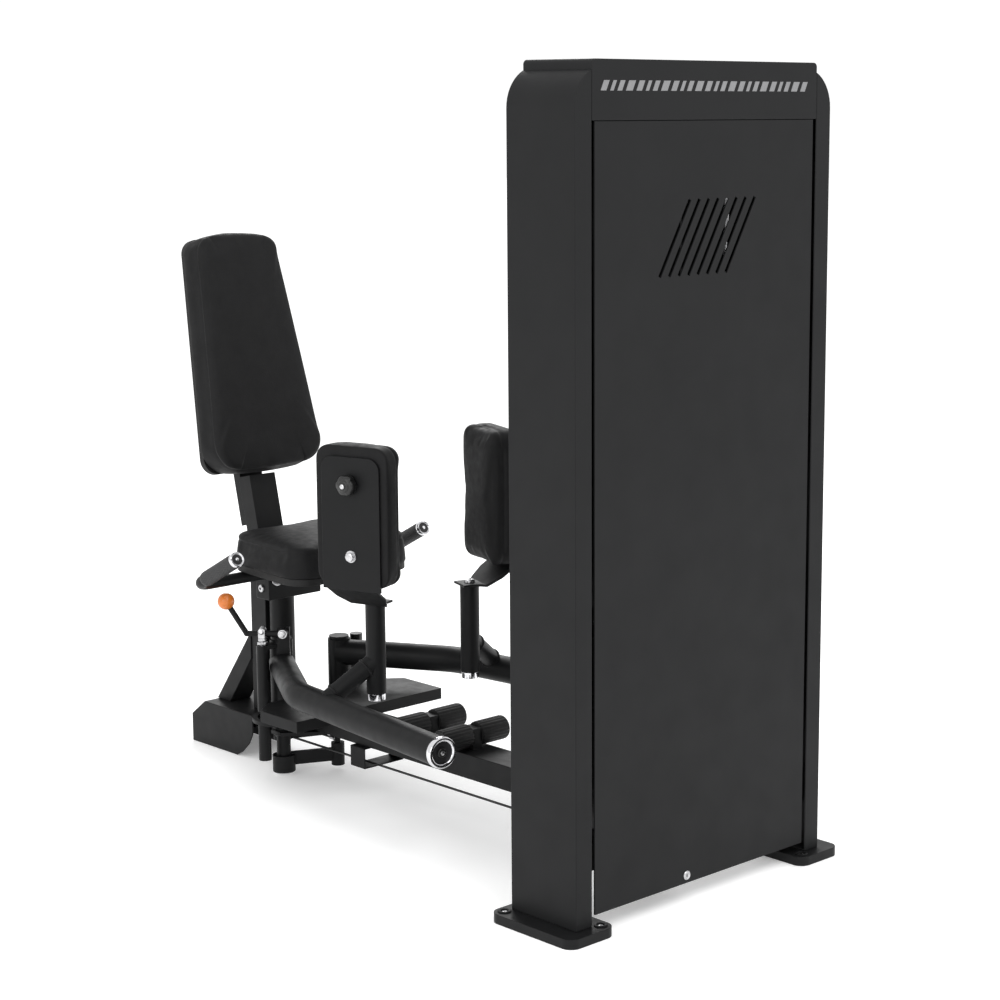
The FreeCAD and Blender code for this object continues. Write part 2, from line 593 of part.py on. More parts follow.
def make_pivot_plate():
    def draw(sketch):
        front, rear = back("pivot_plate_front_back"), back("base_front_back")
        outline(sketch, [
            (rear, "-1 * base_half_width"), (back("pivot_back + 24"), "-1 * pivot_plate_half"),
            (back("pivot_back - 24"), "-1 * pivot_plate_half"), (front, "-1 * beam_width / 2"),
            (front, "beam_width / 2"), (back("pivot_back - 24"), "pivot_plate_half"),
            (back("pivot_back + 24"), "pivot_plate_half"), (rear, "base_half_width")])
    plate_body = padded_body("PivotPlateBlank", "XY_Plane", draw, "pivot_plate_thickness",
                             ("0", "0", "beam_bottom - pivot_plate_thickness"))
    bottom = "beam_bottom - pivot_plate_thickness"
    housings = [rod(f"Housing{sign}", "housing_radius", f"housing_top - ( {bottom} )",
                    (back("pivot_back"), f"{sign} * pivot_side", bottom)) for sign in (1, -1)]
    bores = [rod(f"HousingBore{sign}", "hub_bore", "60",
                 (back("pivot_back"), f"{sign} * pivot_side", "beam_bottom - 30")) for sign in (1, -1)]
    node("pivot_plate", cut("PivotPlate", join("PivotPlateWelded", plate_body, *housings), *bores))


def make_seat():
    saddle = box("Saddle", ("saddle_depth", "saddle_width", "saddle_top - saddle_bottom"),
                 (back("saddle_front_back + saddle_depth"), "-1 * saddle_width / 2", "saddle_bottom"))
    rails = []
    for sign in (1, -1):
        side = f"{sign} * ( saddle_width / 2 - rail_width / 2 ) - rail_width / 2"
        rails.append(box(f"Rail{sign}",
                         ("seat_rear_back + 30 - seat_front_back - 60", "rail_width", "rail_height"),
                         (back("seat_rear_back + 30"), side, "saddle_top")))
    node("seat_frame", join("SeatFrame", saddle, *rails))
    front, rear = back("seat_front_back"), back("seat_rear_back")
    board_bottom = "saddle_top + rail_height"
    for name, inset, bottom, height, corner in (
            ("seat_board", "6", board_bottom, "board_thickness", "seat_corner - 6"),
            ("seat_cushion", "0", f"{board_bottom} + board_thickness", "seat_thickness", "seat_corner")):
        blank = plate(name + "_blank", "XY_Plane", [
            (f"{rear} + {inset}", f"{inset} - seat_rear_half"),
            (f"{front} - {inset}", f"{inset} - seat_half_width"),
            (f"{front} - {inset}", f"seat_half_width - {inset}"),
            (f"{rear} + {inset}", f"seat_rear_half - {inset}")],
            height, ("0", "0", bottom))
        node(name, rounded(name + "_round", blank, corner, runs_along((0, 0, 1))))


def make_backrest():
    """The backrest leans on its own lower front edge."""
    lean = (back("back_front_back"), "0", "back_bottom")
    turn = ((0, 1, 0), "-1 * back_tilt")
    for name, inset, depth, length, shift in (
            ("back_cushion", "0", "back_thickness", "back_length", "0"),
            ("back_board", "8", "board_thickness", "back_length - 8", "back_thickness")):
        blank = plate(name + "_blank", "YZ_Plane", [
            (f"{inset} - back_bottom_half", inset), (f"back_bottom_half - {inset}", inset),
            (f"back_top_half - {inset}", length), (f"{inset} - back_top_half", length)],
            depth, (f"-1 * ( {shift} + {depth} )", "0", "0"))
        shape = rounded(name + "_round", blank, f"back_corner - {inset}", runs_along((1, 0, 0)))
        doc.recompute()
        node(name, place(shape, lean, turn))
    behind = "back_thickness + board_thickness + spine_gap"
    spine = box("BackSpineBar", ("spine_thickness", "spine_width", "spine_length"),
                (f"-1 * ( {behind} + spine_thickness )", "-1 * spine_width / 2", "-1 * spine_drop"))
    spacers = [box(f"BackSpacer{number}", ("spine_gap + 1", "spine_width", "36"),
                   (f"-1 * ( {behind} + 1 )", "-1 * spine_width / 2", height))
               for number, height in enumerate(("40", "spine_length - spine_drop - 60"))]
    post = box("BackPost", ("back_post_depth", "back_post_width", "back_post_length"),
               (f"-1 * ( {behind} + 1 )", "-1 * back_post_width / 2", "-1 * back_post_length - 4"))
    leaning = place(join("BackSpine", spine, post, *spacers), lean, turn)
    below = box("BelowPost", ("200", "200", "100"),
                (back("back_front_back + 150"), "-100", "saddle_top - 100"))
    node("back_frame", cut("BackFrame", leaning, below))


def bent_tube(name, lengths, bend, bend_radius, outer, inner, start, rotation):
    """A round tube with one bend; it starts along the rotation's own X and bends towards its Y."""
    body = doc.addObject("PartDesign::Body", name)
    section = new_sketch(body, name + "Section", "YZ_Plane")
    circle(section, "0", "0", outer)
    circle(section, "0", "0", inner)
    path = new_sketch(body, name + "Path", "XY_Plane")
    first, second = lengths
    corner = Vector(first, 0, 0)
    end = corner + Vector(second * math.cos(bend), second * math.sin(bend), 0)
    path.addGeometry(Part.LineSegment(Vector(), corner))
    path.addGeometry(Part.LineSegment(corner, end))
    path.fillet(0, 1, corner * 0.9, corner + (end - corner) * 0.1, bend_radius, True, True)
    pipe = body.newObject("PartDesign::AdditivePipe", name + "Pipe")
    pipe.Profile = section
    pipe.Spine = path
    body.Tip = pipe
    body.Placement = FreeCAD.Placement(start, rotation)
    return body


def about_z(degrees):
    return FreeCAD.Rotation(Vector(0, 0, 1), degrees)


def make_handles():
    """A stub out of each side of the seat frame, turning up and forwards into a grip."""
    rise = math.radians(size("handle_rise"))
    forwards = Vector(math.cos(rise), 0, math.sin(rise))
    across = Vector(0, 1, 0)
    rotation = FreeCAD.Rotation(across, forwards, across.cross(forwards), "XYZ")
    start = Vector(size(back("handle_back")), size("saddle_width / 2"), size("handle_height"))
    lengths = (size("handle_side - saddle_width / 2"), size("handle_length"))
    frame = bent_tube("HandleTube", lengths, math.pi / 2, size("handle_bend"), "handle_radius",
                      "handle_radius - 2.5", start, rotation)
    corner = start + across * lengths[0]
    along = ((0, 1, 0), "90 - handle_rise")
    grip = tube("HandleGrip", "grip_radius", "handle_radius", "grip_length", ("0", "0", "0"))
    cap = rod("HandleCap", "cap_radius", "cap_thickness", ("0", "0", "0"))
    for shape, distance in ((grip, lengths[1] - size("grip_length")), (cap, lengths[1])):
        foot = corner + forwards * distance
        place(shape, (str(foot.x), str(foot.y), str(foot.z)), along)
    node("handle_frames", group("HandleFrames", frame, mirrored("HandleTubeRight", frame)))
    node("handle_grips", group("HandleGrips", grip, mirrored("HandleGripRight", grip)))
    node("handle_caps", group("HandleCaps", cap, mirrored("HandleCapRight", cap)))


def make_foot_rollers():
    """Two rubber foot pegs across the beam, each side of a block welded to it."""
    sleeves = []
    mounts = []
    for number, place_back in enumerate(("roller_one_back", "roller_two_back")):
        axle = rod(f"PegRod{number}", "roller_core", "2 * roller_half",
                   (back(place_back), "-1 * roller_half", "roller_height"), ALONG_Y)
        block = box(f"PegBlock{number}", ("36", "24", "roller_height + 16 - beam_bottom - beam_height"),
                    (back(f"{place_back} + 18"), "-12", "beam_bottom + beam_height"))
        mounts.append(join(f"PegMount{number}", axle, block))
        for sign, start in ((1, "12"), (-1, "-1 * roller_half")):
            sleeves.append(tube(f"Peg{number}Sleeve{sign}", "roller_radius", "roller_core",
                                "roller_half - 12", (back(place_back), start, "roller_height"), ALONG_Y))
    node("foot_rollers", group("FootRollers", *sleeves))
    node("roller_mounts", group("RollerMounts", *mounts))


def make_tread_plate():
    """The step plate over the beam, its outer edges bent down."""
    rear, front = back("tread_rear_back"), back("tread_front_back")
    top = plate("TreadTop", "XY_Plane", [
        (rear, "-1 * tread_half + 50"), (back("tread_rear_back - 40"), "-1 * tread_half"),
        (front, "-1 * tread_half"), (front, "tread_half"),
        (back("tread_rear_back - 40"), "tread_half"), (rear, "tread_half - 50")],
        "sheet_wall", ("0", "0", "tread_height"))
    parts = [top]
    length = "tread_rear_back - 40 - tread_front_back"
    for sign, side in ((1, "tread_half - sheet_wall"), (-1, "-1 * tread_half")):
        parts.append(box(f"TreadLip{sign}", (length, "sheet_wall", "22"),
                         (back("tread_rear_back - 40"), side, "tread_height - 21")))
    parts.append(box("TreadFrontLip", ("sheet_wall", "2 * tread_half", "22"),
                     (back("tread_front_back + sheet_wall"), "-1 * tread_half", "tread_height - 21")))
    for number, place_back in enumerate(("tread_rear_back - 10", "tread_front_back + 40")):
        parts.append(box(f"TreadLeg{number}",
                         ("20", "beam_width", "tread_height - beam_bottom - beam_height"),
                         (back(place_back), "-1 * beam_width / 2", "beam_bottom + beam_height")))
    node("tread_plate", join("TreadPlate", *parts))
    node("cable_guide_box", hollow_bar("GuideBox", ("48", "106", "beam_bottom - 56"), "3",
                                       (back("963"), "-52", "56"), "x"))


def capsule(name, start, end, radius, bottom, thickness):
    """A flat bar with round ends between two points of the floor plan."""
    run = end - start
    blank = box(name + "Bar", (str(run.Length), f"2 * {radius}", thickness), ("0", "0", "0"))
    heading = math.degrees(math.atan2(run.y, run.x))
    corner = start + about_z(heading).multVec(Vector(0, -size(radius), 0))
    place(blank, (str(corner.x), str(corner.y), bottom), ((0, 0, 1), str(heading)))
    ends = [rod(f"{name}End{number}", radius, thickness, (str(point.x), str(point.y), bottom))
            for number, point in enumerate((start, end))]
    return join(name, blank, *ends)


def pivot_point(sign):
    return Vector(size(back("pivot_back")), sign * size("pivot_side"), 0)


def lug_point(sign):
    turn = math.radians(size("lug_turn"))
    reach = size("lug_reach")
    return pivot_point(sign) + Vector(math.cos(turn), -math.sin(turn), 0) * (sign * reach)


def pin_reach():
    """How far the pull pin stands from its arm's pivot."""
    return math.hypot(size("lever_across"), size("pin_along"))


def pin_heading():
    """The right arm's pull pin seen from the pivot, in degrees from +X."""
    return size("lever_heading") + math.degrees(math.atan2(size("lever_across"), size("pin_along")))


def range_plate(name, sign):
    """A half disc, outside the beam, with a ring of holes along a shallow track for the pull pin's tip."""
    centre = (back("pivot_back"), f"{sign} * pivot_side", "range_plate_bottom")
    disc = rod(name + "Disc", "range_plate_radius", "range_plate_thickness", centre)
    trim_side = "pivot_side + 8 - 2 * range_plate_radius" if sign > 0 else "-1 * pivot_side - 8"
    trim = box(name + "Trim", ("4 * range_plate_radius", "2 * range_plate_radius", "40"),
               (back("pivot_back + 2 * range_plate_radius"), trim_side, "range_plate_bottom - 10"))
    holes = []
    for step in range(-3, 5):
        heading = math.radians(pin_heading() - step * size("pin_step"))
        point = pivot_point(sign) + Vector(math.cos(heading), -sign * math.sin(heading), 0) * pin_reach()
        holes.append(rod(f"{name}Hole{step + 3}", "pin_tip_radius + 0.4", "20",
                         (str(point.x), str(point.y), "range_plate_bottom - 6")))
    track_half = size("pin_tip_radius") + 0.8
    track = tube(name + "Track", f"{pin_reach() + track_half:.6f}", f"{pin_reach() - track_half:.6f}", "10",
                 (back("pivot_back"), f"{sign} * pivot_side", "pin_tip_bottom - 0.3"))
    collar = rod(name + "Collar", "housing_radius", "hub_bottom - 0.5 - housing_top - 0.5",
                 (back("pivot_back"), f"{sign} * pivot_side", "housing_top + 0.5"))
    return cut(name, join(name + "Blank", cut(name + "Half", disc, trim), collar), *holes, track)


def make_cranks():
    for side, sign, hub_top in (("Left", 1, "left_hub_top"), ("Right", -1, "right_hub_top")):
        at = (back("pivot_back"), f"{sign} * pivot_side")
        lug = lug_point(sign)
        lug_bottom = "link_bottom + link_thickness + 1"
        bottom = "shaft_bottom" if sign < 0 else lug_bottom
        parts = [
            rod(f"{side}Shaft", "shaft_radius", f"{hub_top} + 0.5 - ( {bottom} )", at + (bottom,)),
            range_plate(f"{side}RangePlate", sign),
            capsule(f"{side}Lug", pivot_point(sign), lug, "link_width / 2", lug_bottom, "8"),
            rod(f"{side}LugPin", "link_pin_radius", "link_thickness + 2",
                (str(lug.x), str(lug.y), "link_bottom - 1"))]
        if sign < 0:
            pin = Vector(size(back("pivot_back - crank_reach")), size("cable_side"), 0)
            bar = capsule("CrankBar", pivot_point(sign), pin, "crank_width / 2", "crank_height - 18", "28")
            guide = pivot_point(sign) + about_z(pin_heading()).multVec(Vector(pin_reach(), 0, 0))
            parts += [
                bar, rod("CrankBoss", "boss_radius", "50", (str(pin.x), str(pin.y), "10")),
                rod("CrankStud", "link_pin_radius", "12", (str(pin.x), str(pin.y), "60")),
                rod("CrankHub", "hub_radius", "36", at + ("shaft_bottom",)),
                rod("PinStop", "pin_tube_radius", "range_plate_bottom - 42",
                    (str(guide.x), str(guide.y), "42"))]
        parts.append(rod(f"{side}PivotCap", "hub_radius - 3", "6", at + (f"{hub_top} + 0.5",)))
        node(f"{side.lower()}_crank", join(f"{side}Crank", *parts))
    left, right = lug_point(1), lug_point(-1)
    link = capsule("LinkBar", left, right, "link_width / 2", "link_bottom", "link_thickness")
    holes = [rod(f"LinkHole{name}", radius, "20", (str(at.x), str(at.y), "link_bottom - 5"))
             for name, radius, at in (("Left", "link_pin_radius + 0.05", left),
                                      ("Right", "link_pin_radius + link_play", right))]
    node("cross_link", cut("CrossLink", link, *holes))


def make_arm(side, hub_top, finish):
    """One leg arm, drawn on the user's left: hub, bent tube, brace and pad post welded together."""
    start = Vector(size(back("pivot_back")), size("pivot_side"), size("arm_height"))
    bend = Vector(size(back("arm_bend_back")), size("arm_bend_side"), size("arm_height"))
    end = Vector(size(back("arm_end_back")), size("arm_end_side"), size("arm_height"))
    first, second = bend - start, end - bend
    first_heading = math.atan2(first.y, first.x)
    second_heading = math.atan2(second.y, second.x)
    beam = bent_tube(f"{side}ArmTube", (first.Length, second.Length), second_heading - first_heading,
                     size("arm_bend_radius"), "arm_radius", "arm_radius - arm_wall", start,
                     about_z(math.degrees(first_heading)))
    hub = rod(f"{side}Hub", "hub_radius", f"{hub_top} - hub_bottom",
              (back("pivot_back"), "pivot_side", "hub_bottom"))
    post = rod(f"{side}Post", "pad_post_radius", "pad_post_top - pad_post_bottom",
               (back("pad_back"), "pad_side", "pad_post_bottom"))
    head = Vector(size(back("pad_back")), size("pad_side"), size("brace_head_height"))
    foot = Vector(size(back("brace_foot_back")), size("brace_foot_side"), size("brace_foot_height"))
    brace = rod_between(f"{side}Brace", "brace_radius", head, foot)
    hollow = rod(f"{side}HubBore", "hub_bore", "400", (back("pivot_back"), "pivot_side", "0"))
    pad_bore = rod(f"{side}PadBore", "pad_bore", "400", (back("pad_back"), "pad_side", "200"))
    arm = cut(f"{side}Arm", join(f"{side}ArmWelded", beam, hub, post, brace), hollow, pad_bore)
    along = ((-second.y, second.x, 0), 90)
    ring = tube(f"{side}CapRing", "arm_radius + 2", "arm_radius - 5", "12", ("0", "0", "0"))
    back_plate = rod(f"{side}CapDisc", "arm_radius - 5", "4", ("0", "0", "0"))
    boss = rod(f"{side}CapBoss", "9", "10", ("0", "0", "0"))
    cap = join(f"{side}Cap", ring, back_plate, boss)
    place(cap, (str(end.x), str(end.y), str(end.z)), along)
    finish(f"{side.lower()}_arm", arm)
    finish(f"{side.lower()}_arm_cap", cap)


def make_pad(side, finish):
    """A leg pad on its bracket, turning on a shaft through the post; drawn on the user's left."""
    top, foot = "pad_post_top + 0.5", "pad_plate_thickness"
    outer = "pad_plate_offset + pad_plate_thickness"
    knee = "pad_bottom - 4"
    bent = plate(f"{side}PadBent", "YZ_Plane", [
        ("-24", top), ("22", top), (outer, knee), (outer, f"{knee} + 30"),
        ("pad_plate_offset", f"{knee} + 30"), ("pad_plate_offset", f"{knee} + 3"),
        ("20", f"{top} + {foot}"), ("-24", f"{top} + {foot}")],
        "2 * pad_fold_half", ("0", "0", "0"), symmetric=True)
    right_side = [("27", "-25"), ("27", "4"), ("pad_fold_half - 14", "24"), ("pad_fold_half + 1", "52"),
                  ("pad_fold_half + 1", "100")]
    left_side = [(f"-1 * ( {across} )", along) for across, along in reversed(right_side)]
    trim = plate(f"{side}PadTrim", "XY_Plane", right_side + left_side, "200", ("0", "0", "pad_post_top - 50"))
    fold = doc.addObject("Part::Common", f"{side}PadFold")
    fold.Base, fold.Tool = bent, trim
    upright = box(f"{side}PadUpright", ("pad_plate_width", "pad_plate_thickness", "265"),
                  ("-1 * pad_plate_width / 2", "pad_plate_offset", knee))

    def upper_corner(edge):
        return runs_along((0, 1, 0))(edge) and edge.BoundBox.ZMin > size(f"{knee} + 200")

    bracket = join(f"{side}PadBracket", fold, rounded(f"{side}PadPlate", upright, "26", upper_corner))
    shaft_foot = ("0", "0", "pad_post_bottom - 14")
    shaft = join(f"{side}PadShaft",
                 rod(f"{side}PadShaftRod", "pad_shaft_radius", f"{top} - pad_post_bottom + 14", shaft_foot),
                 rod(f"{side}PadNut", "pad_shaft_radius + 6", "13.5", shaft_foot))
    blank = box(f"{side}PadBlock", ("pad_width", "pad_thickness", "pad_height"),
                ("-1 * pad_width / 2", "pad_plate_offset - pad_thickness", "pad_bottom"))
    cushion = rounded(f"{side}Pad", blank, "14",
                      lambda edge: edge.BoundBox.YMax < size("pad_plate_offset - 1"))
    knob = join(f"{side}PadKnob", rod(f"{side}KnobBody", "21", "18", ("0", f"{outer} + 3", "699"), ALONG_Y),
                rod(f"{side}KnobNeck", "10", "4", ("0", outer, "699"), ALONG_Y))
    fittings = group(f"{side}PadFittings", shaft,
                     rod(f"{side}PadBolt", "7", "6", ("0", outer, "556"), ALONG_Y),
                     rod(f"{side}KnobCentre", "8", "3", ("0", f"{outer} + 21", "699"), ALONG_Y))
    pieces = (("pad_bracket", bracket), ("pad_fittings", fittings), ("pad", cushion), ("pad_knob", knob))
    for name, shape in pieces:
        doc.recompute()
        place(shape, (back("pad_back"), "pad_side", "0"), ((0, 0, 1), "-1 * pad_toe"))
        finish(f"{side.lower()}_{name}", shape)


def make_lever():
    """The right arm's range lever and pull pin, drawn along the lever and then turned into place."""
    at = (back("pivot_back"), "-1 * pivot_side", "0")
    turn = ((0, 0, 1), "lever_heading")
    plate_top = "right_hub_top - 6"
    pin_at = ("pin_along", "lever_across")
    sleeve = rod("PinTube", "pin_tube_radius", f"{plate_top} - pin_tube_bottom",
                 pin_at + ("pin_tube_bottom",))
    webs = []
    for number, bottom in enumerate(("pin_tube_bottom + 4", f"{plate_top} - 8")):
        webs.append(capsule(f"PinWeb{number}", Vector(), Vector(size("pin_along"), size("lever_across"), 0),
                            "pin_tube_radius - 1", bottom, "8"))
    ear_from = "lever_pivot_along - 13"
    ear = box("LeverEar", ("26", "6", "lever_height + 12 - 236"), (ear_from, "lever_across - 14", "236"))
    bridge = box("LeverBridge", ("26", "20", "40"), (ear_from, "lever_across - 28", "236"))
    axle = rod("LeverAxle", "4", "24", ("lever_pivot_along", "lever_across - 14", "lever_height"), ALONG_Y)
    hub_space = rod("BracketHubSpace", "hub_radius", "400", ("0", "0", "0"))
    bore = rod("PinTubeBore", "pull_pin_radius + 0.05", "400", pin_at + ("0",))
    bracket = cut("LeverBracket", join("LeverBracketWelded", sleeve, ear, bridge, axle, *webs),
                  hub_space, bore)
    place(bracket, at, turn)
    stem_bottom = "hub_bottom + 10"
    head = f"{plate_top} + 1"
    eye_low, eye_high = "lever_height - lever_radius - 2", "lever_height + lever_radius + 2"
    tip = rod("PullPinTip", "pin_tip_radius", f"{stem_bottom} - pin_tip_bottom",
              pin_at + ("pin_tip_bottom",))
    stem = rod("PullPinStem", "pull_pin_radius", f"{head} - ( {stem_bottom} )", pin_at + (stem_bottom,))
    yoke = box("Yoke", ("18", "26", f"{eye_high} + 5 - ( {head} )"),
               ("pin_along - 9", "lever_across - 13", head))
    window = box("YokeWindow", ("40", "16", f"{eye_high} - ( {eye_low} )"),
                 ("pin_along - 20", "lever_across - 8", eye_low))
    node("pull_pin", place(join("PullPin", tip, stem, cut("YokeOpen", yoke, window)), at, turn))
    run = rod("LeverRun", "lever_radius", "lever_corner_along - lever_pivot_along",
              ("lever_pivot_along", "lever_across", "lever_height"), ALONG_X)
    eye = rod("LeverEye", "11", "2 * lever_radius + 2",
              ("lever_pivot_along", "lever_across - lever_radius - 1", "lever_height"), ALONG_Y)
    rise_from = Vector(size("lever_corner_along"), size("lever_across"), size("lever_height"))
    rise_to = Vector(size("ball_along"), size("lever_across"), size("ball_height"))
    socket = rise_to - (rise_to - rise_from).normalize() * (size("ball_radius") - 4)
    rise = rod_between("LeverRise", "lever_radius", rise_from, socket)
    elbow = ball_at("LeverElbow", "lever_radius + 0.4", rise_from)
    bore = rod("LeverBore", "4.05", "40", ("lever_pivot_along", "lever_across - 20", "lever_height"), ALONG_Y)
    lever = cut("RangeLever", join("LeverWelded", run, eye, rise, elbow), bore)
    knob = cut("LeverKnob", ball_at("Ball", "ball_radius", rise_to),
               rod_between("BallSocket", "lever_radius", rise_from, socket))
    node("range_lever", place(lever, at, turn))
    node("lever_knob", place(knob, at, turn))
    return bracket


def make_plunger():
    """The left arm's pin tube, webs and hand plunger, in the same place as the right arm's."""
    at = (back("pivot_back"), "pivot_side", "0")
    turn = ((0, 0, 1), "-1 * lever_heading")
    spot = ("pin_along", "-1 * lever_across")
    top = "left_hub_top - 14"
    sleeve = rod("PlungerTube", "pin_tube_radius", f"{top} - pin_tube_bottom", spot + ("pin_tube_bottom",))
    webs = [capsule(f"PlungerWeb{number}", Vector(), Vector(size("pin_along"), -size("lever_across"), 0),
                    "pin_tube_radius - 1", bottom, "8")
            for number, bottom in enumerate(("pin_tube_bottom + 4", f"{top} - 8"))]
    bore = rod("PlungerBore", "pull_pin_radius + 0.05", "400", spot + ("0",))
    hub_space = rod("PlungerHubSpace", "hub_radius", "400", ("0", "0", "0"))
    bracket = cut("PlungerBracket", join("PlungerBracketWelded", sleeve, *webs), hub_space, bore)
    stem_bottom = "hub_bottom + 10"
    pin = join(
        "LeftPullPin",
        rod("LeftPinTip", "pin_tip_radius", f"{stem_bottom} - pin_tip_bottom", spot + ("pin_tip_bottom",)),
        rod("LeftPinStem", "pull_pin_radius", f"{top} + 6 - ( {stem_bottom} )", spot + (stem_bottom,)),
        rod("LeftPinKnob", "14", "16", spot + (f"{top} + 1",)))
    node("left_pull_pin", place(pin, at, turn))
    return place(bracket, at, turn)


def keep_left(name, shape):
    node(name, shape)


def keep_right(name, shape):
    node(name, mirrored(name + "_mirror", shape))


def make_bolts():
    """Bolt heads on the seat frame, and the lock of the tower's panel."""
    lock = rod("PanelLock", "6", "5", (back("1.5"), "-44", "52"), ALONG_X)
    side = rod("SaddleBolt", "9", "6", (back("saddle_front_back"), "-48", "saddle_top - 14"), ALONG_X)
    under_board = "seat_bottom - board_thickness - 6"
    lower = [rod(f"BoardBolt{sign}", "8", "6", (back("seat_front_back + 60"), f"{sign} * 36", under_board))
             for sign in (1, -1)]
    node("frame_bolts", group("FrameBolts", lock, side, *lower))


def check(shapes):
    """Stops at a feature that failed or a shape that is not sound."""
    for feature in doc.Objects:
        wrong = [state for state in feature.State if state in ("Invalid", "Error")]
        if wrong:
            raise RuntimeError(f"{feature.Name} ({feature.Label}): {wrong}")
    for name, feature in shapes.items():
        if feature.Shape.isNull() or not feature.Shape.isValid() or not feature.Shape.Solids:
            raise RuntimeError(f"{name}: shape is empty or not valid")


def main():
    fill_sheet()
    for make in (make_column, make_header, make_front_panel, make_rear_panel, make_tower_frame, make_feet,
                 make_stack, make_cable, make_sheaves, make_spine, make_pivot_plate, make_seat, make_backrest,
                 make_handles, make_foot_rollers, make_tread_plate, make_cranks, make_bolts):
        make()
    sides = (("Left", "left_hub_top", keep_left), ("Right", "right_hub_top", keep_right))
    for side, hub_top, finish in sides:
        make_arm(side, hub_top, finish)
        make_pad(side, finish)
    for side, bracket in (("right", make_lever()), ("left", make_plunger())):
        tubes = NODES[f"{side}_arm"]
        tubes.Label = f"{side}_arm_tubes"
        node(f"{side}_arm", join(f"{side}_arm_welded", tubes, bracket))
    doc.recompute()
    check(NODES)
    os.makedirs("parts", exist_ok=True)
    for name, feature in NODES.items():
        feature.Shape.exportStep(f"parts/{name}.step")
    print(len(NODES), "sub-parts")


main()
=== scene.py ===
import math

import bmesh
import bpy
from mathutils import Matrix, Vector


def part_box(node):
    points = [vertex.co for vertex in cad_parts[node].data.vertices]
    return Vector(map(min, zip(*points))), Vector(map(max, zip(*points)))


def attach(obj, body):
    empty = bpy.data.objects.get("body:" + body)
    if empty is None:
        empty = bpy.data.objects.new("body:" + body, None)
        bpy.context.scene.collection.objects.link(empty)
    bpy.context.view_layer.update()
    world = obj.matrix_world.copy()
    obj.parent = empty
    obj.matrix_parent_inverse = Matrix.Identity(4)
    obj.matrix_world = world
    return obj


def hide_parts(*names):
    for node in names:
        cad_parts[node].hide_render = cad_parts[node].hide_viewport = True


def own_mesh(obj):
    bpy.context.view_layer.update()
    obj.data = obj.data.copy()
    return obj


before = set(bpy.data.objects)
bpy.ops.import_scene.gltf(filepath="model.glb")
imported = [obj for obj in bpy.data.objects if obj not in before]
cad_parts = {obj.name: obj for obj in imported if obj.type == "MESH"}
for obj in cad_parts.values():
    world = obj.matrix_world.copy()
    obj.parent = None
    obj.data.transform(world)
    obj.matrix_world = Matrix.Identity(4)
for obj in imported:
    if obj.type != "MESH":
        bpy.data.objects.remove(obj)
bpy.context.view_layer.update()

# Hip abductor and adductor machine. Metres, +Z up, +X towards the weight tower, +Y the user's left.

X, Y, Z = Vector((1, 0, 0)), Vector((0, 1, 0)), Vector((0, 0, 1))
SIDES = (("right", -1), ("left", 1))

# Places on the frame. What has a Y here stands on both sides, at -Y and at +Y.
PIVOT_X, PIVOT_Y = -0.4125, 0.078
PAD_X, PAD_Y, PAD_TOE = -0.0325, 0.126, math.radians(18)
PAD_PLATE_INNER, PAD_PLATE_OUTER = 0.078, 0.083
ARM_BEND = (-0.1775, 0.214, 0.245)
ARM_END = (0.3325, 0.274, 0.245)
HANDLE_RISE = math.radians(27.4)
BACK_LEAN = math.radians(13)
BACK_FOOT = Vector((-0.518, 0, 0.648))
BACK_THICKNESS, BACK_BOARD = 0.068, 0.015
LEVER_HEIGHT, LEVER_ALONG, LEVER_ACROSS = 0.320, 0.009, 0.034
SADDLE_FACE = -0.4615
TOWER_FACE = 0.7475
FOOT_TOP = 0.018
BEAM_TOP = 0.152


# ---------------------------------------------------------------- camera, light and stage

def make_camera():
    camera = bpy.data.objects.new("camera", bpy.data.cameras.new("camera"))
    bpy.context.scene.collection.objects.link(camera)
    yaw, pitch = math.radians(45.17), math.radians(10.0)
    heading = Vector((-math.sin(yaw) * math.cos(pitch), math.cos(yaw) * math.cos(pitch), -math.sin(pitch)))
    camera.location = (3.3982, -2.902, 1.430)
    camera.rotation_euler = heading.to_track_quat("-Z", "Y").to_euler()
    camera.data.lens = 80.89
    camera.data.sensor_width = 36
    camera.data.shift_x = -0.10
    camera.data.clip_end = 200
    bpy.context.scene.camera = camera


def area_light(name, place, size, power, aim=(0, 0, 0.7)):
    light = bpy.data.lights.new(name, "AREA")
    light.shape = "RECTANGLE"
    light.size, light.size_y = size
    light.energy = power
    lamp = bpy.data.objects.new(name, light)
    bpy.context.scene.collection.objects.link(lamp)
    lamp.location = place
    lamp.rotation_euler = (Vector(aim) - Vector(place)).to_track_quat("-Z", "Y").to_euler()


def make_studio():
    world = bpy.data.worlds.new("studio")
    world.use_nodes = True
    background = world.node_tree.nodes["Background"]
    background.inputs["Color"].default_value = (1.0, 1.0, 1.0, 1)
    background.inputs["Strength"].default_value = 1.05
    bpy.context.scene.world = world
    area_light("key", (3.2, -0.6, 3.4), (2.2, 2.2), 60)
    area_light("fill", (0.6, -4.2, 2.0), (3.0, 2.0), 35)
    area_light("rim", (-3.0, 2.4, 2.8), (2.0, 2.0), 60)
    bpy.context.scene.view_settings.view_transform = "Standard"
    bpy.context.scene.view_settings.look = "None"


def make_floor():
    mesh = bmesh.new()
    bmesh.ops.create_circle(mesh, cap_ends=True, segments=96, radius=40)
    data = bpy.data.meshes.new("floor")
    mesh.to_mesh(data)
    mesh.free()
    floor = bpy.data.objects.new("floor", data)
    bpy.context.scene.collection.objects.link(floor)
    floor.location.z = -0.0005
    white = finish("floor_white", (0.97, 0.97, 0.97), 0.8, specular=0.0, mottle=0.004, mottle_scale=2,
                   spread=0.04, bumps=())
    shader = white.node_tree.nodes["Principled BSDF"]
    shader.inputs["Emission Color"].default_value = (1, 1, 1, 1)
    shader.inputs["Emission Strength"].default_value = 0.22
    data.materials.append(white)


# ---------------------------------------------------------------- materials

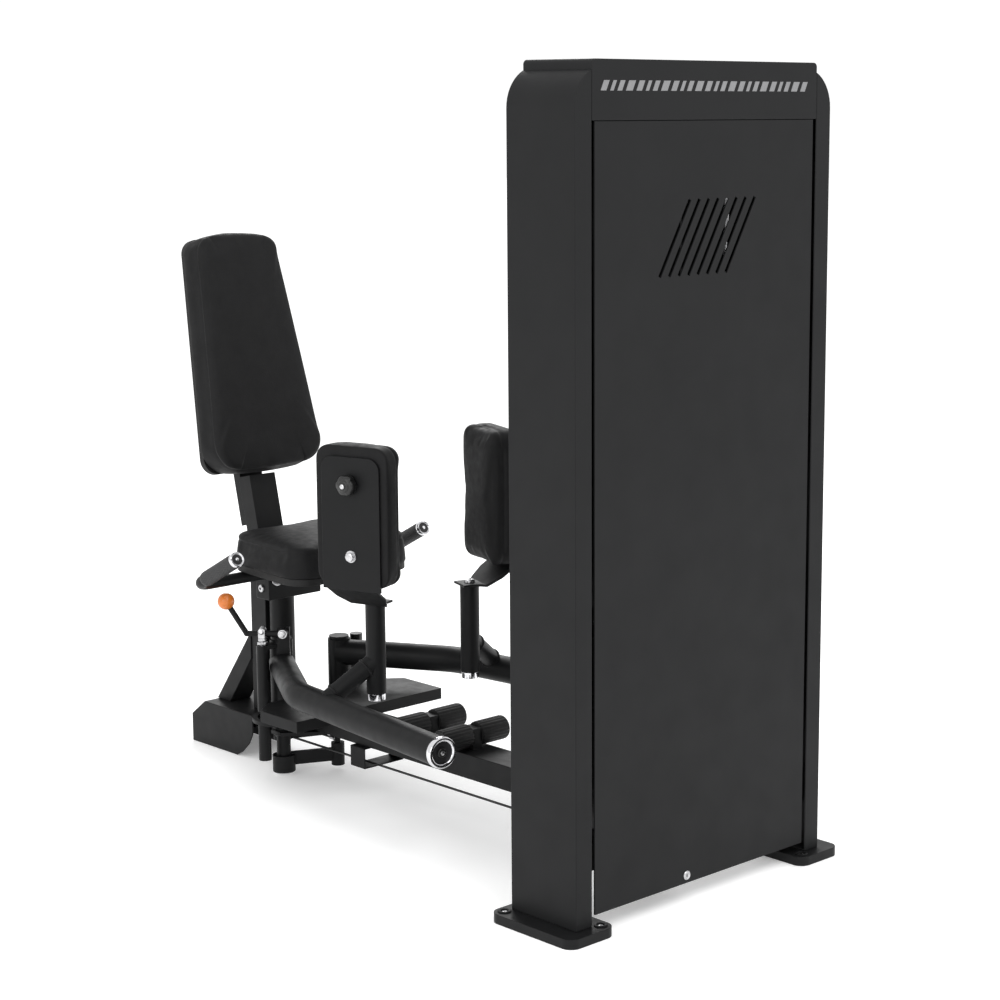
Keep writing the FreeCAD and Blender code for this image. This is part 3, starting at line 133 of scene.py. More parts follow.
VORONOI_FEATURES = {"cells": "SMOOTH_F1", "dots": "F1"}
NOISE_SPAN = (0.3, 0.7)


def finish(name, colour, roughness, metallic=0.0, specular=0.5, coat=0.0, coat_roughness=0.1,
           mottle=0.12, mottle_scale=14.0, spread=0.06, bumps=(("noise", 900.0, 0.00003),)):
    """A node material: mottled colour and roughness, and a chain of fine bumps. Scales are per metre."""
    material = bpy.data.materials.new(name)
    material.use_nodes = True
    nodes, links = material.node_tree.nodes, material.node_tree.links
    shader = nodes["Principled BSDF"]
    shader.inputs["Metallic"].default_value = metallic
    shader.inputs["Specular IOR Level"].default_value = specular
    shader.inputs["Coat Weight"].default_value = coat
    shader.inputs["Coat Roughness"].default_value = coat_roughness
    place = nodes.new("ShaderNodeTexCoord")

    def texture(kind, scale, detail=3.0):
        node = nodes.new("ShaderNodeTexVoronoi" if kind in VORONOI_FEATURES else "ShaderNodeTexNoise")
        links.new(place.outputs["Object"], node.inputs["Vector"])
        node.inputs["Scale"].default_value = scale
        if kind in VORONOI_FEATURES:
            node.feature = VORONOI_FEATURES[kind]
            return node.outputs["Distance"]
        node.inputs["Detail"].default_value = detail
        return node.outputs["Fac"]

    ramp = nodes.new("ShaderNodeValToRGB")
    for stop, position, amount in zip(ramp.color_ramp.elements, NOISE_SPAN, (1 - mottle, 1 + mottle)):
        stop.position = position
        stop.color = (*(channel * amount for channel in colour), 1)
    links.new(texture("noise", mottle_scale, 6.0), ramp.inputs["Fac"])
    links.new(ramp.outputs["Color"], shader.inputs["Base Color"])
    gloss = nodes.new("ShaderNodeMapRange")
    gloss.inputs["From Min"].default_value, gloss.inputs["From Max"].default_value = NOISE_SPAN
    gloss.inputs["To Min"].default_value = max(roughness - spread, 0.02)
    gloss.inputs["To Max"].default_value = min(roughness + spread, 1.0)
    links.new(texture("noise", mottle_scale * 3, 4.0), gloss.inputs["Value"])
    links.new(gloss.outputs["Result"], shader.inputs["Roughness"])
    previous = None
    for kind, scale, depth in bumps:
        bump = nodes.new("ShaderNodeBump")
        bump.inputs["Strength"].default_value = 1.0
        bump.inputs["Distance"].default_value = depth
        links.new(texture(kind, scale), bump.inputs["Height"])
        if previous:
            links.new(previous.outputs["Normal"], bump.inputs["Normal"])
        previous = bump
    if previous:
        links.new(previous.outputs["Normal"], shader.inputs["Normal"])
    return material


CHARCOAL = (0.0090, 0.0092, 0.0096)
PAINT = finish("powder_coat", CHARCOAL, 0.44, specular=0.14, mottle=0.08, bumps=(("noise", 700.0, 0.00006),))
# The panel coat is the frame's charcoal painted about a third lighter: painted light, a lit copy of the same
# paint standing in for the brighter side face.
PANEL_PAINTED_LIGHTER = finish("panel_coat_painted_light", (0.0120, 0.0122, 0.0127), 0.50, specular=0.12, mottle=0.05, mottle_scale=5.0,
               bumps=(("noise", 700.0, 0.00005),))
CHROME = finish("chrome", (0.72, 0.72, 0.74), 0.14, metallic=1.0, mottle=0.05, spread=0.05,
                bumps=(("noise", 60.0, 0.00004),))
ZINC = finish("zinc_plate", (0.55, 0.55, 0.56), 0.30, metallic=1.0, mottle=0.15, mottle_scale=120.0,
              bumps=(("noise", 500.0, 0.00005),))
IRON = finish("cast_iron", (0.012, 0.012, 0.013), 0.55, specular=0.3, mottle=0.2, mottle_scale=40.0,
              bumps=(("noise", 160.0, 0.0003), ("noise", 900.0, 0.0001)))
LEATHER = finish("leather", (0.0105, 0.0105, 0.0109), 0.58, specular=0.12, mottle=0.10, mottle_scale=22.0,
                 spread=0.06,
                 bumps=(("cells", 420.0, 0.00020), ("noise", 1500.0, 0.00006), ("noise", 30.0, 0.0005)))
BOARD = finish("moulded_board", (0.008, 0.008, 0.008), 0.6, specular=0.3, bumps=(("dots", 500.0, 0.0002),))
RUBBER = finish("rubber", (0.007, 0.007, 0.007), 0.62, specular=0.3, mottle=0.2, mottle_scale=60.0,
                bumps=(("noise", 600.0, 0.00012),))
PLASTIC = finish("nylon", (0.010, 0.010, 0.011), 0.38, specular=0.4, bumps=(("noise", 500.0, 0.00006),))
GRIP = finish("grip_rubber", (0.016, 0.016, 0.017), 0.5, specular=0.4, mottle=0.35, mottle_scale=260.0,
              spread=0.12, bumps=(("noise", 900.0, 0.0001),))
SHEATH = finish("cable_sheath", (0.010, 0.010, 0.010), 0.35, specular=0.5,
                bumps=(("noise", 1200.0, 0.00008),))
# Black knob plastic; the same finish is also painted into bolt sockets and the panel lock's slot as painted
# shade.
BLACK_KNOB_AND_HOLE_SHADE = finish("knob_black", (0.010, 0.010, 0.010), 0.32, specular=0.45, bumps=(("dots", 900.0, 0.00006),))
ORANGE = finish("knob_orange", (0.64, 0.170, 0.022), 0.30, specular=0.45, coat=0.3, coat_roughness=0.25,
                mottle=0.05, mottle_scale=50.0, bumps=(("noise", 300.0, 0.00005),))
MARKING = finish("marking_grey", (0.19, 0.19, 0.195), 0.5, mottle=0.06, mottle_scale=60.0,
                 bumps=(("noise", 900.0, 0.00003),))

FINISHES = {
    "frame_paint": PAINT, "panel_paint": PANEL_PAINTED_LIGHTER, "chrome": CHROME, "steel": ZINC, "weights": IRON,
    "upholstery": LEATHER, "board": BOARD, "rubber": RUBBER, "sheave_plastic": PLASTIC,
    "cable_sheath": SHEATH, "knob_black": BLACK_KNOB_AND_HOLE_SHADE, "knob_orange": ORANGE,
}
EDGE_RADIUS = {
    "main_beam": 0.0040, "seat_columns": 0.0030, "rear_base": 0.0020, "seat_frame": 0.0025,
    "back_frame": 0.0040, "tower_beams": 0.0030, "weight_plates_resting": 0.0020,
    "weight_plates_lifted": 0.0020, "stack_head": 0.0020, "tower_column_left": 0.0035,
    "tower_column_right": 0.0035, "tower_header": 0.0020, "foot_plate_left": 0.0020,
    "foot_plate_right": 0.0020, "cable_guide_box": 0.0020,
}
SMOOTH_ONLY = ("cable_run", "cable_drop", "cable_tail", "lever_knob", "handle_frames")


def dress_nodes():
    """Gives every CAD part its node material, and all but the SMOOTH_ONLY parts soft, rounded edges."""
    for name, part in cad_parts.items():
        for slot in part.material_slots:
            slot.material = FINISHES[slot.material.name.split(".")[0]]
        if name in SMOOTH_ONLY:
            continue
        weld = part.modifiers.new("weld", "WELD")
        weld.merge_threshold = 0.00001
        flat = part.modifiers.new("flat", "DECIMATE")
        flat.decimate_type = "DISSOLVE"
        flat.angle_limit = math.radians(0.5)
        bevel = part.modifiers.new("edges", "BEVEL")
        bevel.width = EDGE_RADIUS.get(name, 0.0010)
        bevel.segments = 2
        bevel.limit_method = "ANGLE"
        bevel.angle_limit = math.radians(32)
        normals = part.modifiers.new("normals", "WEIGHTED_NORMAL")
        normals.weight = 60
        normals.keep_sharp = False


# ---------------------------------------------------------------- building pieces

class Piece:
    """Mesh parts gathered into one object, each with a material of its own."""

    def __init__(self, name):
        self.name = name
        self.mesh = bmesh.new()
        self.materials = []

    def number(self, material):
        if material not in self.materials:
            self.materials.append(material)
        return self.materials.index(material)

    def face(self, corners, index):
        found = self.mesh.faces.new(corners)
        found.material_index = index
        found.smooth = True

    def skin(self, rings, material, start=True, end=True):
        """Quads between rings of points, with a fan over each closed end."""
        index = self.number(material)
        rows = [[self.mesh.verts.new(point) for point in ring] for ring in rings]
        count = len(rows[0])
        for low, high in zip(rows, rows[1:]):
            for i in range(count):
                j = (i + 1) % count
                self.face((low[i], low[j], high[j], high[i]), index)
        for row, wanted, turn in ((rows[0], start, -1), (rows[-1], end, 1)):
            if wanted:
                middle = self.mesh.verts.new(sum((v.co for v in row), Vector()) / count)
                for i in range(count):
                    pair = (row[i], row[(i + 1) % count])[::turn]
                    self.face((*pair, middle), index)

    def turned(self, profile, at, axis, material, steps=48, shape=None, start=True, end=True):
        """A turned solid: profile is (radius, height along the axis); shape(angle) scales the radius."""
        turn = axis.to_track_quat("Z", "Y").to_matrix()
        rings = []
        for radius, height in profile:
            ring = []
            for i in range(steps):
                angle = 2 * math.pi * i / steps
                reach = radius * (shape(angle) if shape else 1.0)
                spoke = Vector((reach * math.cos(angle), reach * math.sin(angle), height))
                ring.append(Vector(at) + turn @ spoke)
            rings.append(ring)
        self.skin(rings, material, start, end)

    def slab(self, corners, thickness, material, edge=0.0006):
        """A thin plate over a flat outline, its upper edge chamfered."""
        normal = (corners[1] - corners[0]).cross(corners[2] - corners[1]).normalized()
        middle = sum(corners, Vector()) / len(corners)
        inner = [point + (middle - point).normalized() * edge + normal * thickness for point in corners]
        shoulder = [point + normal * (thickness - edge) for point in corners]
        self.skin([corners, shoulder, inner], material)

    def block(self, centre, along, across, up, sizes, material, edge=0.001):
        """A box with chamfered edges, its sides along three directions."""
        half_along, half_across, half_up = (side / 2 for side in sizes)
        rings = []
        for height, inset in ((-half_up, edge), (edge - half_up, 0), (half_up - edge, 0), (half_up, edge)):
            a, c = half_along - inset, half_across - inset
            outline = ((a, c - edge), (a - edge, c), (edge - a, c), (-a, c - edge),
                       (-a, edge - c), (edge - a, -c), (a - edge, -c), (a, edge - c))
            rings.append([Vector(centre) + along * u + across * v + up * height for u, v in outline])
        self.skin(rings, material)

    def bead(self, at, axis, radius, thickness, ripples):
        """A weld bead: a ring round a tube, rippled along its length."""
        profile = []
        for degrees in range(-80, 261, 34):
            angle = math.radians(degrees)
            profile.append((radius + thickness * math.cos(angle), thickness * math.sin(angle)))
        self.turned(profile, at, axis, PAINT, steps=ripples * 4,
                    shape=lambda angle: 1 + 0.012 * math.sin(angle * ripples), start=False, end=False)

    def hex_bolt(self, at, axis, size, washer=True):
        """A hexagon bolt head over a washer. Size is half the distance across the flats."""
        at = Vector(at)
        if washer:
            thick = size * 0.22
            self.turned([(size * 1.45, 0), (size * 1.5, thick * 0.4), (size * 1.42, thick),
                         (size * 0.9, thick)], at, axis, ZINC)
            at = at + axis * thick
        height = size * 0.75
        self.turned([(size, 0), (size, height)], at, axis, ZINC, shape=hexagon, end=False)
        self.turned([(size, 0), (size * 0.62, size * 0.16)], at + axis * height, axis, ZINC,
                    shape=lambda angle: 1 + (hexagon(angle) - 1) * 0.5, start=False)

    def round_bolt(self, at, axis, radius):
        """A domed bolt head with a hexagon socket."""
        rise = radius * 0.55
        flat, rim, socket = radius * 0.5, radius * 0.42, radius * 0.36
        self.turned([(radius, 0), (radius, rise * 0.35), (radius * 0.92, rise * 0.7),
                     (radius * 0.72, rise * 0.93), (flat, rise)], at, axis, ZINC, steps=36, end=False)
        self.turned([(flat, rise), (rim, rise)], at, axis, ZINC, steps=36, start=False, end=False)
        # The socket's walls and floor take the black knob finish: painted shade in the hole, not the zinc of
        # the bolt.
        self.turned([(socket, rise), (socket, rise * 0.35)], at, axis, BLACK_KNOB_AND_HOLE_SHADE, steps=36, shape=hexagon,
                    start=False)
        self.turned([(rim, rise), (socket, rise)], at, axis, ZINC, steps=36, start=False, end=False)

    def done(self, body, slot, *nodes, angle=38, weld=True):
        if weld:
            bmesh.ops.remove_doubles(self.mesh, verts=self.mesh.verts, dist=0.00001)
        bmesh.ops.recalc_face_normals(self.mesh, faces=self.mesh.faces)
        data = bpy.data.meshes.new(self.name)
        self.mesh.to_mesh(data)
        self.mesh.free()
        data.set_sharp_from_angle(angle=math.radians(angle))
        for material in self.materials:
            data.materials.append(material)
        piece = bpy.data.objects.new(self.name, data)
        bpy.context.scene.collection.objects.link(piece)
        if nodes:
            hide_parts(*nodes)
        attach(piece, body)
        return piece


def hexagon(angle):
    return 1 / math.cos(angle % (math.pi / 3) - math.pi / 6)


# ---------------------------------------------------------------- cushions

def offset_ring(corners, inset, spacing):
    """Points round a convex outline moved inwards. A corner is (u, v, radius) and becomes an arc."""
    places = [Vector(corner[:2]) for corner in corners]
    lines = []
    for here, following in zip(places, places[1:] + places[:1]):
        along = (following - here).normalized()
        inward = Vector((-along.y, along.x))
        lines.append((here + inward * inset, along, inward))
    arcs = []
    for (start, first, inward), (other, second, _), corner in zip(lines[-1:] + lines[:-1], lines, corners):
        bend = max(corner[2] - inset, 0.004)
        cross = first.x * second.y - first.y * second.x
        gap = other - start
        meet = start + first * ((gap.x * second.y - gap.y * second.x) / cross)
        turn = math.atan2(cross, first.dot(second))
        begin = meet - first * bend * math.tan(turn / 2)
        centre = begin + inward * bend
        steps = max(1, round(turn / 0.17))
        arc = []
        for i in range(steps + 1):
            swing = turn * i / steps
            spoke = -inward * bend
            arc.append(centre + Vector((spoke.x * math.cos(swing) - spoke.y * math.sin(swing),
                                        spoke.x * math.sin(swing) + spoke.y * math.cos(swing))))
        arcs.append(arc)
    ring = []
    for arc, following, here, there in zip(arcs, arcs[1:] + arcs[:1], places, places[1:] + places[:1]):
        ring.extend(arc)
        count = max(2, round((there - here).length / spacing))
        for i in range(1, count):
            ring.append(arc[-1].lerp(following[0], i / count))
    return ring


def swell(piece, pinned, cap=0.004, frames=20):
    """Inflates the cover with a short cloth simulation; no point moves further than cap."""
    group = piece.vertex_groups.new(name="held")
    group.add(pinned, 1.0, "REPLACE")
    modifier = piece.modifiers.new("cloth", "CLOTH")
    cloth = modifier.settings
    cloth.quality = 6
    cloth.mass = 0.3
    cloth.tension_stiffness = 18
    cloth.compression_stiffness = 18
    cloth.shear_stiffness = 8
    cloth.bending_stiffness = 2
    cloth.use_pressure = True
    cloth.uniform_pressure_force = 4
    cloth.vertex_group_mass = "held"
    cloth.effector_weights.gravity = 0
    modifier.point_cache.frame_start = 1
    modifier.point_cache.frame_end = frames
    scene = bpy.context.scene
    for number in range(1, frames + 1):
        scene.frame_set(number)
    shape = piece.evaluated_get(bpy.context.evaluated_depsgraph_get()).to_mesh()
    places = [vertex.co.copy() for vertex in shape.vertices]
    piece.modifiers.remove(modifier)
    piece.vertex_groups.remove(group)
    for vertex, moved in zip(piece.data.vertices, places):
        step = moved - vertex.co
        if step.length > cap:
            step = step.normalized() * cap
        vertex.co = vertex.co + step
    scene.frame_set(1)


def cushion(name, body, node, matrix, corners, thickness, edge, seam, draft=0.0, groove=0.0026):
    """A stuffed pad over a board: crowned face, rounded rim, and a seam round its side.
    The outline is drawn in the matrix's first two axes and rises along the third."""
    slack, crown, margin, spacing = 0.0022, 0.004, 0.004, 0.011
    top = thickness - slack
    section = [(0.010, 0.0), (0.004, 0.0), (0.001, 0.0012)]
    section += [(0.0, margin + (seam - 2 * margin) * share) for share in (0.0, 0.25, 0.5, 0.75, 1.0)]
    seam_row = len(section)
    section += [(0.0, seam)]
    section += [(0.0, seam + margin + (top - edge - seam - margin) * share) for share in (0.0, 0.5, 1.0)]
    arc_rows = 7
    for i in range(1, arc_rows + 1):
        swing = math.pi / 2 * i / arc_rows
        section.append((edge * (1 - math.cos(swing)), top - edge + edge * math.sin(swing)))
    flat_rings = [(offset_ring(corners, slack + inset + draft * height / top, spacing), height)
                  for inset, height in section]
    last, last_height = flat_rings[-1]
    middle = sum(last, Vector((0, 0))) / len(last)
    steps = 11
    for i in range(1, steps + 1):
        share = 1 - i / (steps + 0.6)
        rise = crown * (1 - share ** 2.2)
        flat_rings.append(([middle + (point - middle) * share for point in last], last_height + rise))
    first = flat_rings[0][0]
    under = [([middle + (point - middle) * share for point in first], 0.0) for share in (0.3, 0.65)]
    rings = [[matrix @ Vector((point.x, point.y, height)) for point in ring]
             for ring, height in under + flat_rings]
    built = Piece(name)
    built.skin(rings, LEATHER)
    piece = built.done(body, "upholstery", node, angle=180, weld=False)
    around = len(rings[0])
    held_rings = 5
    swell(piece, list(range(around * held_rings)))
    outward = matrix.to_3x3() @ Z
    first_seam = (seam_row + len(under)) * around
    vertices = piece.data.vertices
    heart = sum((vertices[first_seam + i].co for i in range(around)), Vector()) / around
    moves = []
    for i in range(around):
        vertex = vertices[first_seam + i]
        inward = heart - vertex.co
        inward -= outward * inward.dot(outward)
        before = vertices[first_seam + (i - 1) % around].co
        after = vertices[first_seam + (i + 1) % around].co
        across = (after - before).cross(outward).normalized()
        moves.append((vertex, across if across.dot(inward) > 0 else -across))
    for vertex, across in moves:
        vertex.co += across * groove
    piece.data.update()
    subdivide = piece.modifiers.new("subdivision", "SUBSURF")
    subdivide.levels = 1
    subdivide.render_levels = 1


def frame_matrix(origin, across, along, out):
    matrix = Matrix((across, along, out)).transposed().to_4x4()
    matrix.translation = origin
    return matrix


def pad_frame(sign):
    """The pad pivot, the direction along the pad and the direction out of the machine."""
    pivot = Vector((PAD_X, sign * PAD_Y, 0))
    along = Vector((math.cos(PAD_TOE), -sign * math.sin(PAD_TOE), 0))
    outwards = Vector((math.sin(PAD_TOE), sign * math.cos(PAD_TOE), 0))
    return pivot, along, outwards


def back_directions():
    """The directions out of the backrest's face and up it."""
    front = Vector((math.cos(BACK_LEAN), 0, math.sin(BACK_LEAN)))
    rise = Vector((-math.sin(BACK_LEAN), 0, math.cos(BACK_LEAN)))
    return front, rise


def back_outline():
    """Wide soft lower corners, and gently arched top and bottom edges."""
    arch = 0.10
    bottom = [(-0.149, 0.012, 0.060), (-0.078, 0.003, arch), (0.0, 0.0, arch), (0.078, 0.003, arch),
              (0.149, 0.012, 0.060)]
    top = [(0.106, 0.512, 0.040), (0.058, 0.5245, arch), (0.0, 0.528, arch), (-0.058, 0.5245, arch),
           (-0.106, 0.512, 0.040)]
    return bottom + top


def make_cushions():
    low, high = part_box("seat_cushion")
    rear_half, front_half, corner = 0.138, 0.165, 0.055
    cushion("seat_cover", "frame", "seat_cushion", frame_matrix(Vector((0, 0, low.z)), X, Y, Z),
            [(low.x, -rear_half, corner), (high.x, -front_half, corner), (high.x, front_half, corner),
             (low.x, rear_half, corner)],
            thickness=high.z - low.z, edge=0.008, seam=0.052, draft=0.004)
    front, rise = back_directions()
    cushion("back_cover", "frame", "back_cushion",
            frame_matrix(BACK_FOOT - front * BACK_THICKNESS, Y, rise, front), back_outline(),
            thickness=BACK_THICKNESS, edge=0.014, seam=0.050, groove=0.0016)
    half, bottom, top, corner = 0.085, 0.492, 0.776, 0.030
    for side, sign in SIDES:
        pivot, along, outwards = pad_frame(sign)
        origin = pivot + outwards * PAD_PLATE_INNER
        cushion(f"{side}_pad_cover", f"{side}_pad", f"{side}_pad", frame_matrix(origin, along, Z, -outwards),
                [(-half, bottom, corner), (half, bottom, corner), (half, top, corner), (-half, top, corner)],
                thickness=0.060, edge=0.014, seam=0.036)


# ---------------------------------------------------------------- fittings

def make_header_bars():
    """A row of plain slanted bars across the header."""
    bars = Piece("header_bars")
    lean, half_height, centre = 0.008, 0.0085, 1.460
    place, last_place, gap = -0.262, 0.250, 0.0090
    widths = (0.013, 0.008, 0.011, 0.016)
    number = 0
    while place < last_place:
        width = widths[number % len(widths)]
        corners = [Vector((TOWER_FACE, place - lean / 2, centre - half_height)),
                   Vector((TOWER_FACE, place + width - lean / 2, centre - half_height)),
                   Vector((TOWER_FACE, place + width + lean / 2, centre + half_height)),
                   Vector((TOWER_FACE, place + lean / 2, centre + half_height))]
        bars.slab(corners, 0.0008, MARKING, edge=0.0003)
        place += width + gap
        number += 1
    bars.done("frame", "steel")


def make_grips():
    """Knurled rubber sleeves with chrome ends."""
    forwards = Vector((math.cos(HANDLE_RISE), 0, math.sin(HANDLE_RISE)))
    turn = forwards.to_track_quat("Z", "Y").to_matrix()
    low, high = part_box("handle_caps")
    cap_radius, cap_half = 0.0165, 0.0035
    grips, caps = Piece("knurled_grips"), Piece("grip_ends")
    length, radius, knurls, twist, rows = 0.122, 0.0152, 20, 190, 110
    knurl_depth, end_taper, end_step = 0.0010, 0.004, 0.0006
    around = knurls * 6
    for _, sign in SIDES:
        cap_middle = Vector(((low.x + high.x) / 2, sign * (high.y - cap_radius), (low.z + high.z) / 2))
        end = cap_middle - forwards * cap_half
        start = end - forwards * length
        rings = []
        for row in range(rows + 1):
            height = length * row / rows
            fade = min(1.0, min(height, length - height) / end_taper)
            ring = []
            for i in range(around):
                angle = 2 * math.pi * i / around
                one_way = abs(math.sin((angle * knurls + height * twist * 2) / 2))
                other_way = abs(math.sin((angle * knurls - height * twist * 2) / 2))
                knurl = (one_way * other_way) ** 0.5
                reach = radius + knurl_depth * fade * knurl - end_step * (1 - fade)
                spoke = Vector((reach * math.cos(angle), reach * math.sin(angle), height))
                ring.append(start + turn @ spoke)
            rings.append(ring)
        grips.skin(rings, GRIP)
        caps.turned([(0.0120, -0.002), (0.0160, -0.002), (0.0166, 0.0), (0.0166, 0.0045), (0.0158, 0.0066),
                     (0.0146, 0.0070), (0.0134, 0.0062), (0.0128, 0.0050), (0.0118, 0.0050)],
                    end, forwards, CHROME)
        caps.turned([(0.0118, 0.0040), (0.0118, 0.0054), (0.0040, 0.0056)], end, forwards, PLASTIC)
        caps.turned([(0.0036, 0.0050), (0.0036, 0.0064), (0.0028, 0.0069)], end, forwards, CHROME, steps=24)
    grips.done("frame", "rubber", "handle_grips", angle=70)
    caps.done("frame", "chrome", "handle_caps")


def make_rollers():
    """Rubber foot rollers with lengthwise ribs."""
    low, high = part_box("foot_rollers")
    radius = (high.z - low.z) / 2
    rollers = Piece("ribbed_rollers")
    ribs, block_half = 20, 0.012
    around = ribs * 8
    full, length = radius - 0.0004, high.y - block_half
    shoulder, lip = full * 0.96, 0.0006

    def ribbed(angle):
        return 1 - 0.040 * (0.5 - 0.5 * math.cos(angle * ribs)) ** 2

    for centre_x in (high.x - radius, low.x + radius):
        for sign in (1, -1):
            at = (centre_x, sign * block_half, (low.z + high.z) / 2)
            rollers.turned([(full * 0.60, 0), (full * 0.90, 0), (shoulder, lip)], at, Y * sign, RUBBER,
                           steps=around, end=False)
            rollers.turned([(shoulder, lip), (full, 0.003), (full, length - 0.003), (shoulder, length - lip)],
                           at, Y * sign, RUBBER, steps=around, shape=ribbed, start=False, end=False)
            rollers.turned([(shoulder, length - lip), (full * 0.88, length), (full * 0.80, length - 0.0010),
                            (full * 0.44, length - 0.0010)], at, Y * sign, RUBBER, steps=around, start=False)
            rollers.turned([(full * 0.42, length - 0.002), (full * 0.42, length + 0.0008),
                            (full * 0.34, length + 0.0016)], at, Y * sign, PLASTIC, steps=36)
    rollers.done("frame", "rubber", "foot_rollers")


def make_arm_ends():
    """Chrome cup, dark recess and a black boss with a bright centre at each arm's end."""
    for side, sign in SIDES:
        end, bend = (Vector((x, sign * y, z)) for x, y, z in (ARM_END, ARM_BEND))
        along = (end - bend).normalized()
        cap = Piece(f"{side}_arm_end")
        cap.turned([(0.0262, -0.004), (0.0288, -0.002), (0.0302, 0.0006), (0.0306, 0.003), (0.0302, 0.009),
                    (0.0288, 0.0117), (0.0262, 0.0122), (0.0232, 0.0112), (0.0214, 0.0086), (0.0208, 0.0040)],
                   end, along, CHROME, steps=72, end=False)
        cap.turned([(0.0210, 0.0030), (0.0210, 0.0044), (0.0150, 0.0050), (0.0090, 0.0046)], end, along,
                   IRON, steps=72)
        cap.turned([(0.0092, 0.0040), (0.0092, 0.0088), (0.0080, 0.0100), (0.0046, 0.0102)], end, along, BLACK_KNOB_AND_HOLE_SHADE)
        cap.turned([(0.0044, 0.0096), (0.0044, 0.0108), (0.0034, 0.0113)], end, along, ZINC, steps=24)
        cap.done(f"{side}_arm", "chrome", f"{side}_arm_cap")


def make_pad_fittings():
    """Lobed knobs on the pads' plates, and the bolts of the pad brackets."""
    knob_height, bolt_height, post_top = 0.699, 0.556, 0.4515
    lobes = 6

    def lobed(angle):
        return 1 - 0.085 * (0.5 - 0.5 * math.cos(angle * lobes)) ** 1.5

    for side, sign in SIDES:
        pivot, _, outwards = pad_frame(sign)
        plate = pivot + outwards * PAD_PLATE_OUTER
        knob = Piece(f"{side}_lobed_knob")
        at = plate + Z * knob_height
        knob.turned([(0.0100, 0), (0.0100, 0.0034)], at, outwards, BLACK_KNOB_AND_HOLE_SHADE, end=False)
        knob.turned([(0.0100, 0.0034), (0.0180, 0.0036), (0.0204, 0.0055), (0.0210, 0.0085), (0.0210, 0.0155),
                     (0.0200, 0.0188), (0.0170, 0.0212), (0.0124, 0.0226)], at, outwards, BLACK_KNOB_AND_HOLE_SHADE, steps=96,
                    shape=lobed, start=False, end=False)
        knob.turned([(0.0130, 0.0216), (0.0112, 0.0242), (0.0090, 0.0250), (0.0056, 0.0250)],
                    at, outwards, BLACK_KNOB_AND_HOLE_SHADE)
        knob.done(f"{side}_pad", "knob_black", f"{side}_pad_knob")
        bolts = Piece(f"{side}_pad_bolts")
        bolts.hex_bolt(at + outwards * 0.0246, outwards, 0.0046, washer=False)
        bolts.hex_bolt(plate + Z * bolt_height, outwards, 0.0082)
        bolts.round_bolt(pivot + Z * post_top, Z, 0.0115)
        bolts.done(f"{side}_pad", "steel")


def make_frame_hardware():
    """Bolts of the seat frame, the boards, the foot plates and the tower's panel."""
    bolts = Piece("frame_hardware")
    for sign in (-1, 1):
        bolts.hex_bolt((SADDLE_FACE, sign * 0.048, 0.419), X, 0.0098)
    for sign in (1, -1):
        bolts.hex_bolt((-0.2975, sign * 0.036, 0.447), -Z, 0.0085)
        bolts.round_bolt((-0.488, sign * 0.070, 0.398), Y * sign, 0.0085)
    lock = Vector((0.746, -0.044, 0.052))
    bolts.turned([(0.0085, -0.002), (0.0085, 0.0012), (0.0076, 0.0022), (0.0060, 0.0022), (0.0054, 0.0012),
                  (0.0024, 0.0012)], lock, X, ZINC)
    # A thin black bar across the lock's face: painted shade standing for its slot.
    bolts.block(lock + X * 0.0016, Y, Z, X, (0.0012, 0.0060, 0.0008), BLACK_KNOB_AND_HOLE_SHADE, edge=0.0002)
    front, rise = back_directions()
    board_back = BACK_FOOT - front * (BACK_THICKNESS + BACK_BOARD)
    for height in (0.075, 0.150, 0.320):
        for sign in (1, -1):
            bolts.round_bolt(board_back + rise * height + Y * sign * 0.052, -front, 0.0075)
    for sign in (1, -1):
        for hole_x, hole_y in ((0.7525, 0.270), (0.5825, 0.342)):
            at = Vector((hole_x, sign * hole_y, FOOT_TOP))
            bolts.turned([(0.0125, -0.001), (0.0125, 0.0016), (0.0112, 0.0026), (0.0080, 0.0026),
                          (0.0066, 0.0016), (0.0064, -0.003)], at, Z, PAINT, steps=40, start=False, end=False)
            bolts.round_bolt(at - Z * 0.0025, Z, 0.0058)
    bolts.done("frame", "steel", "frame_bolts")


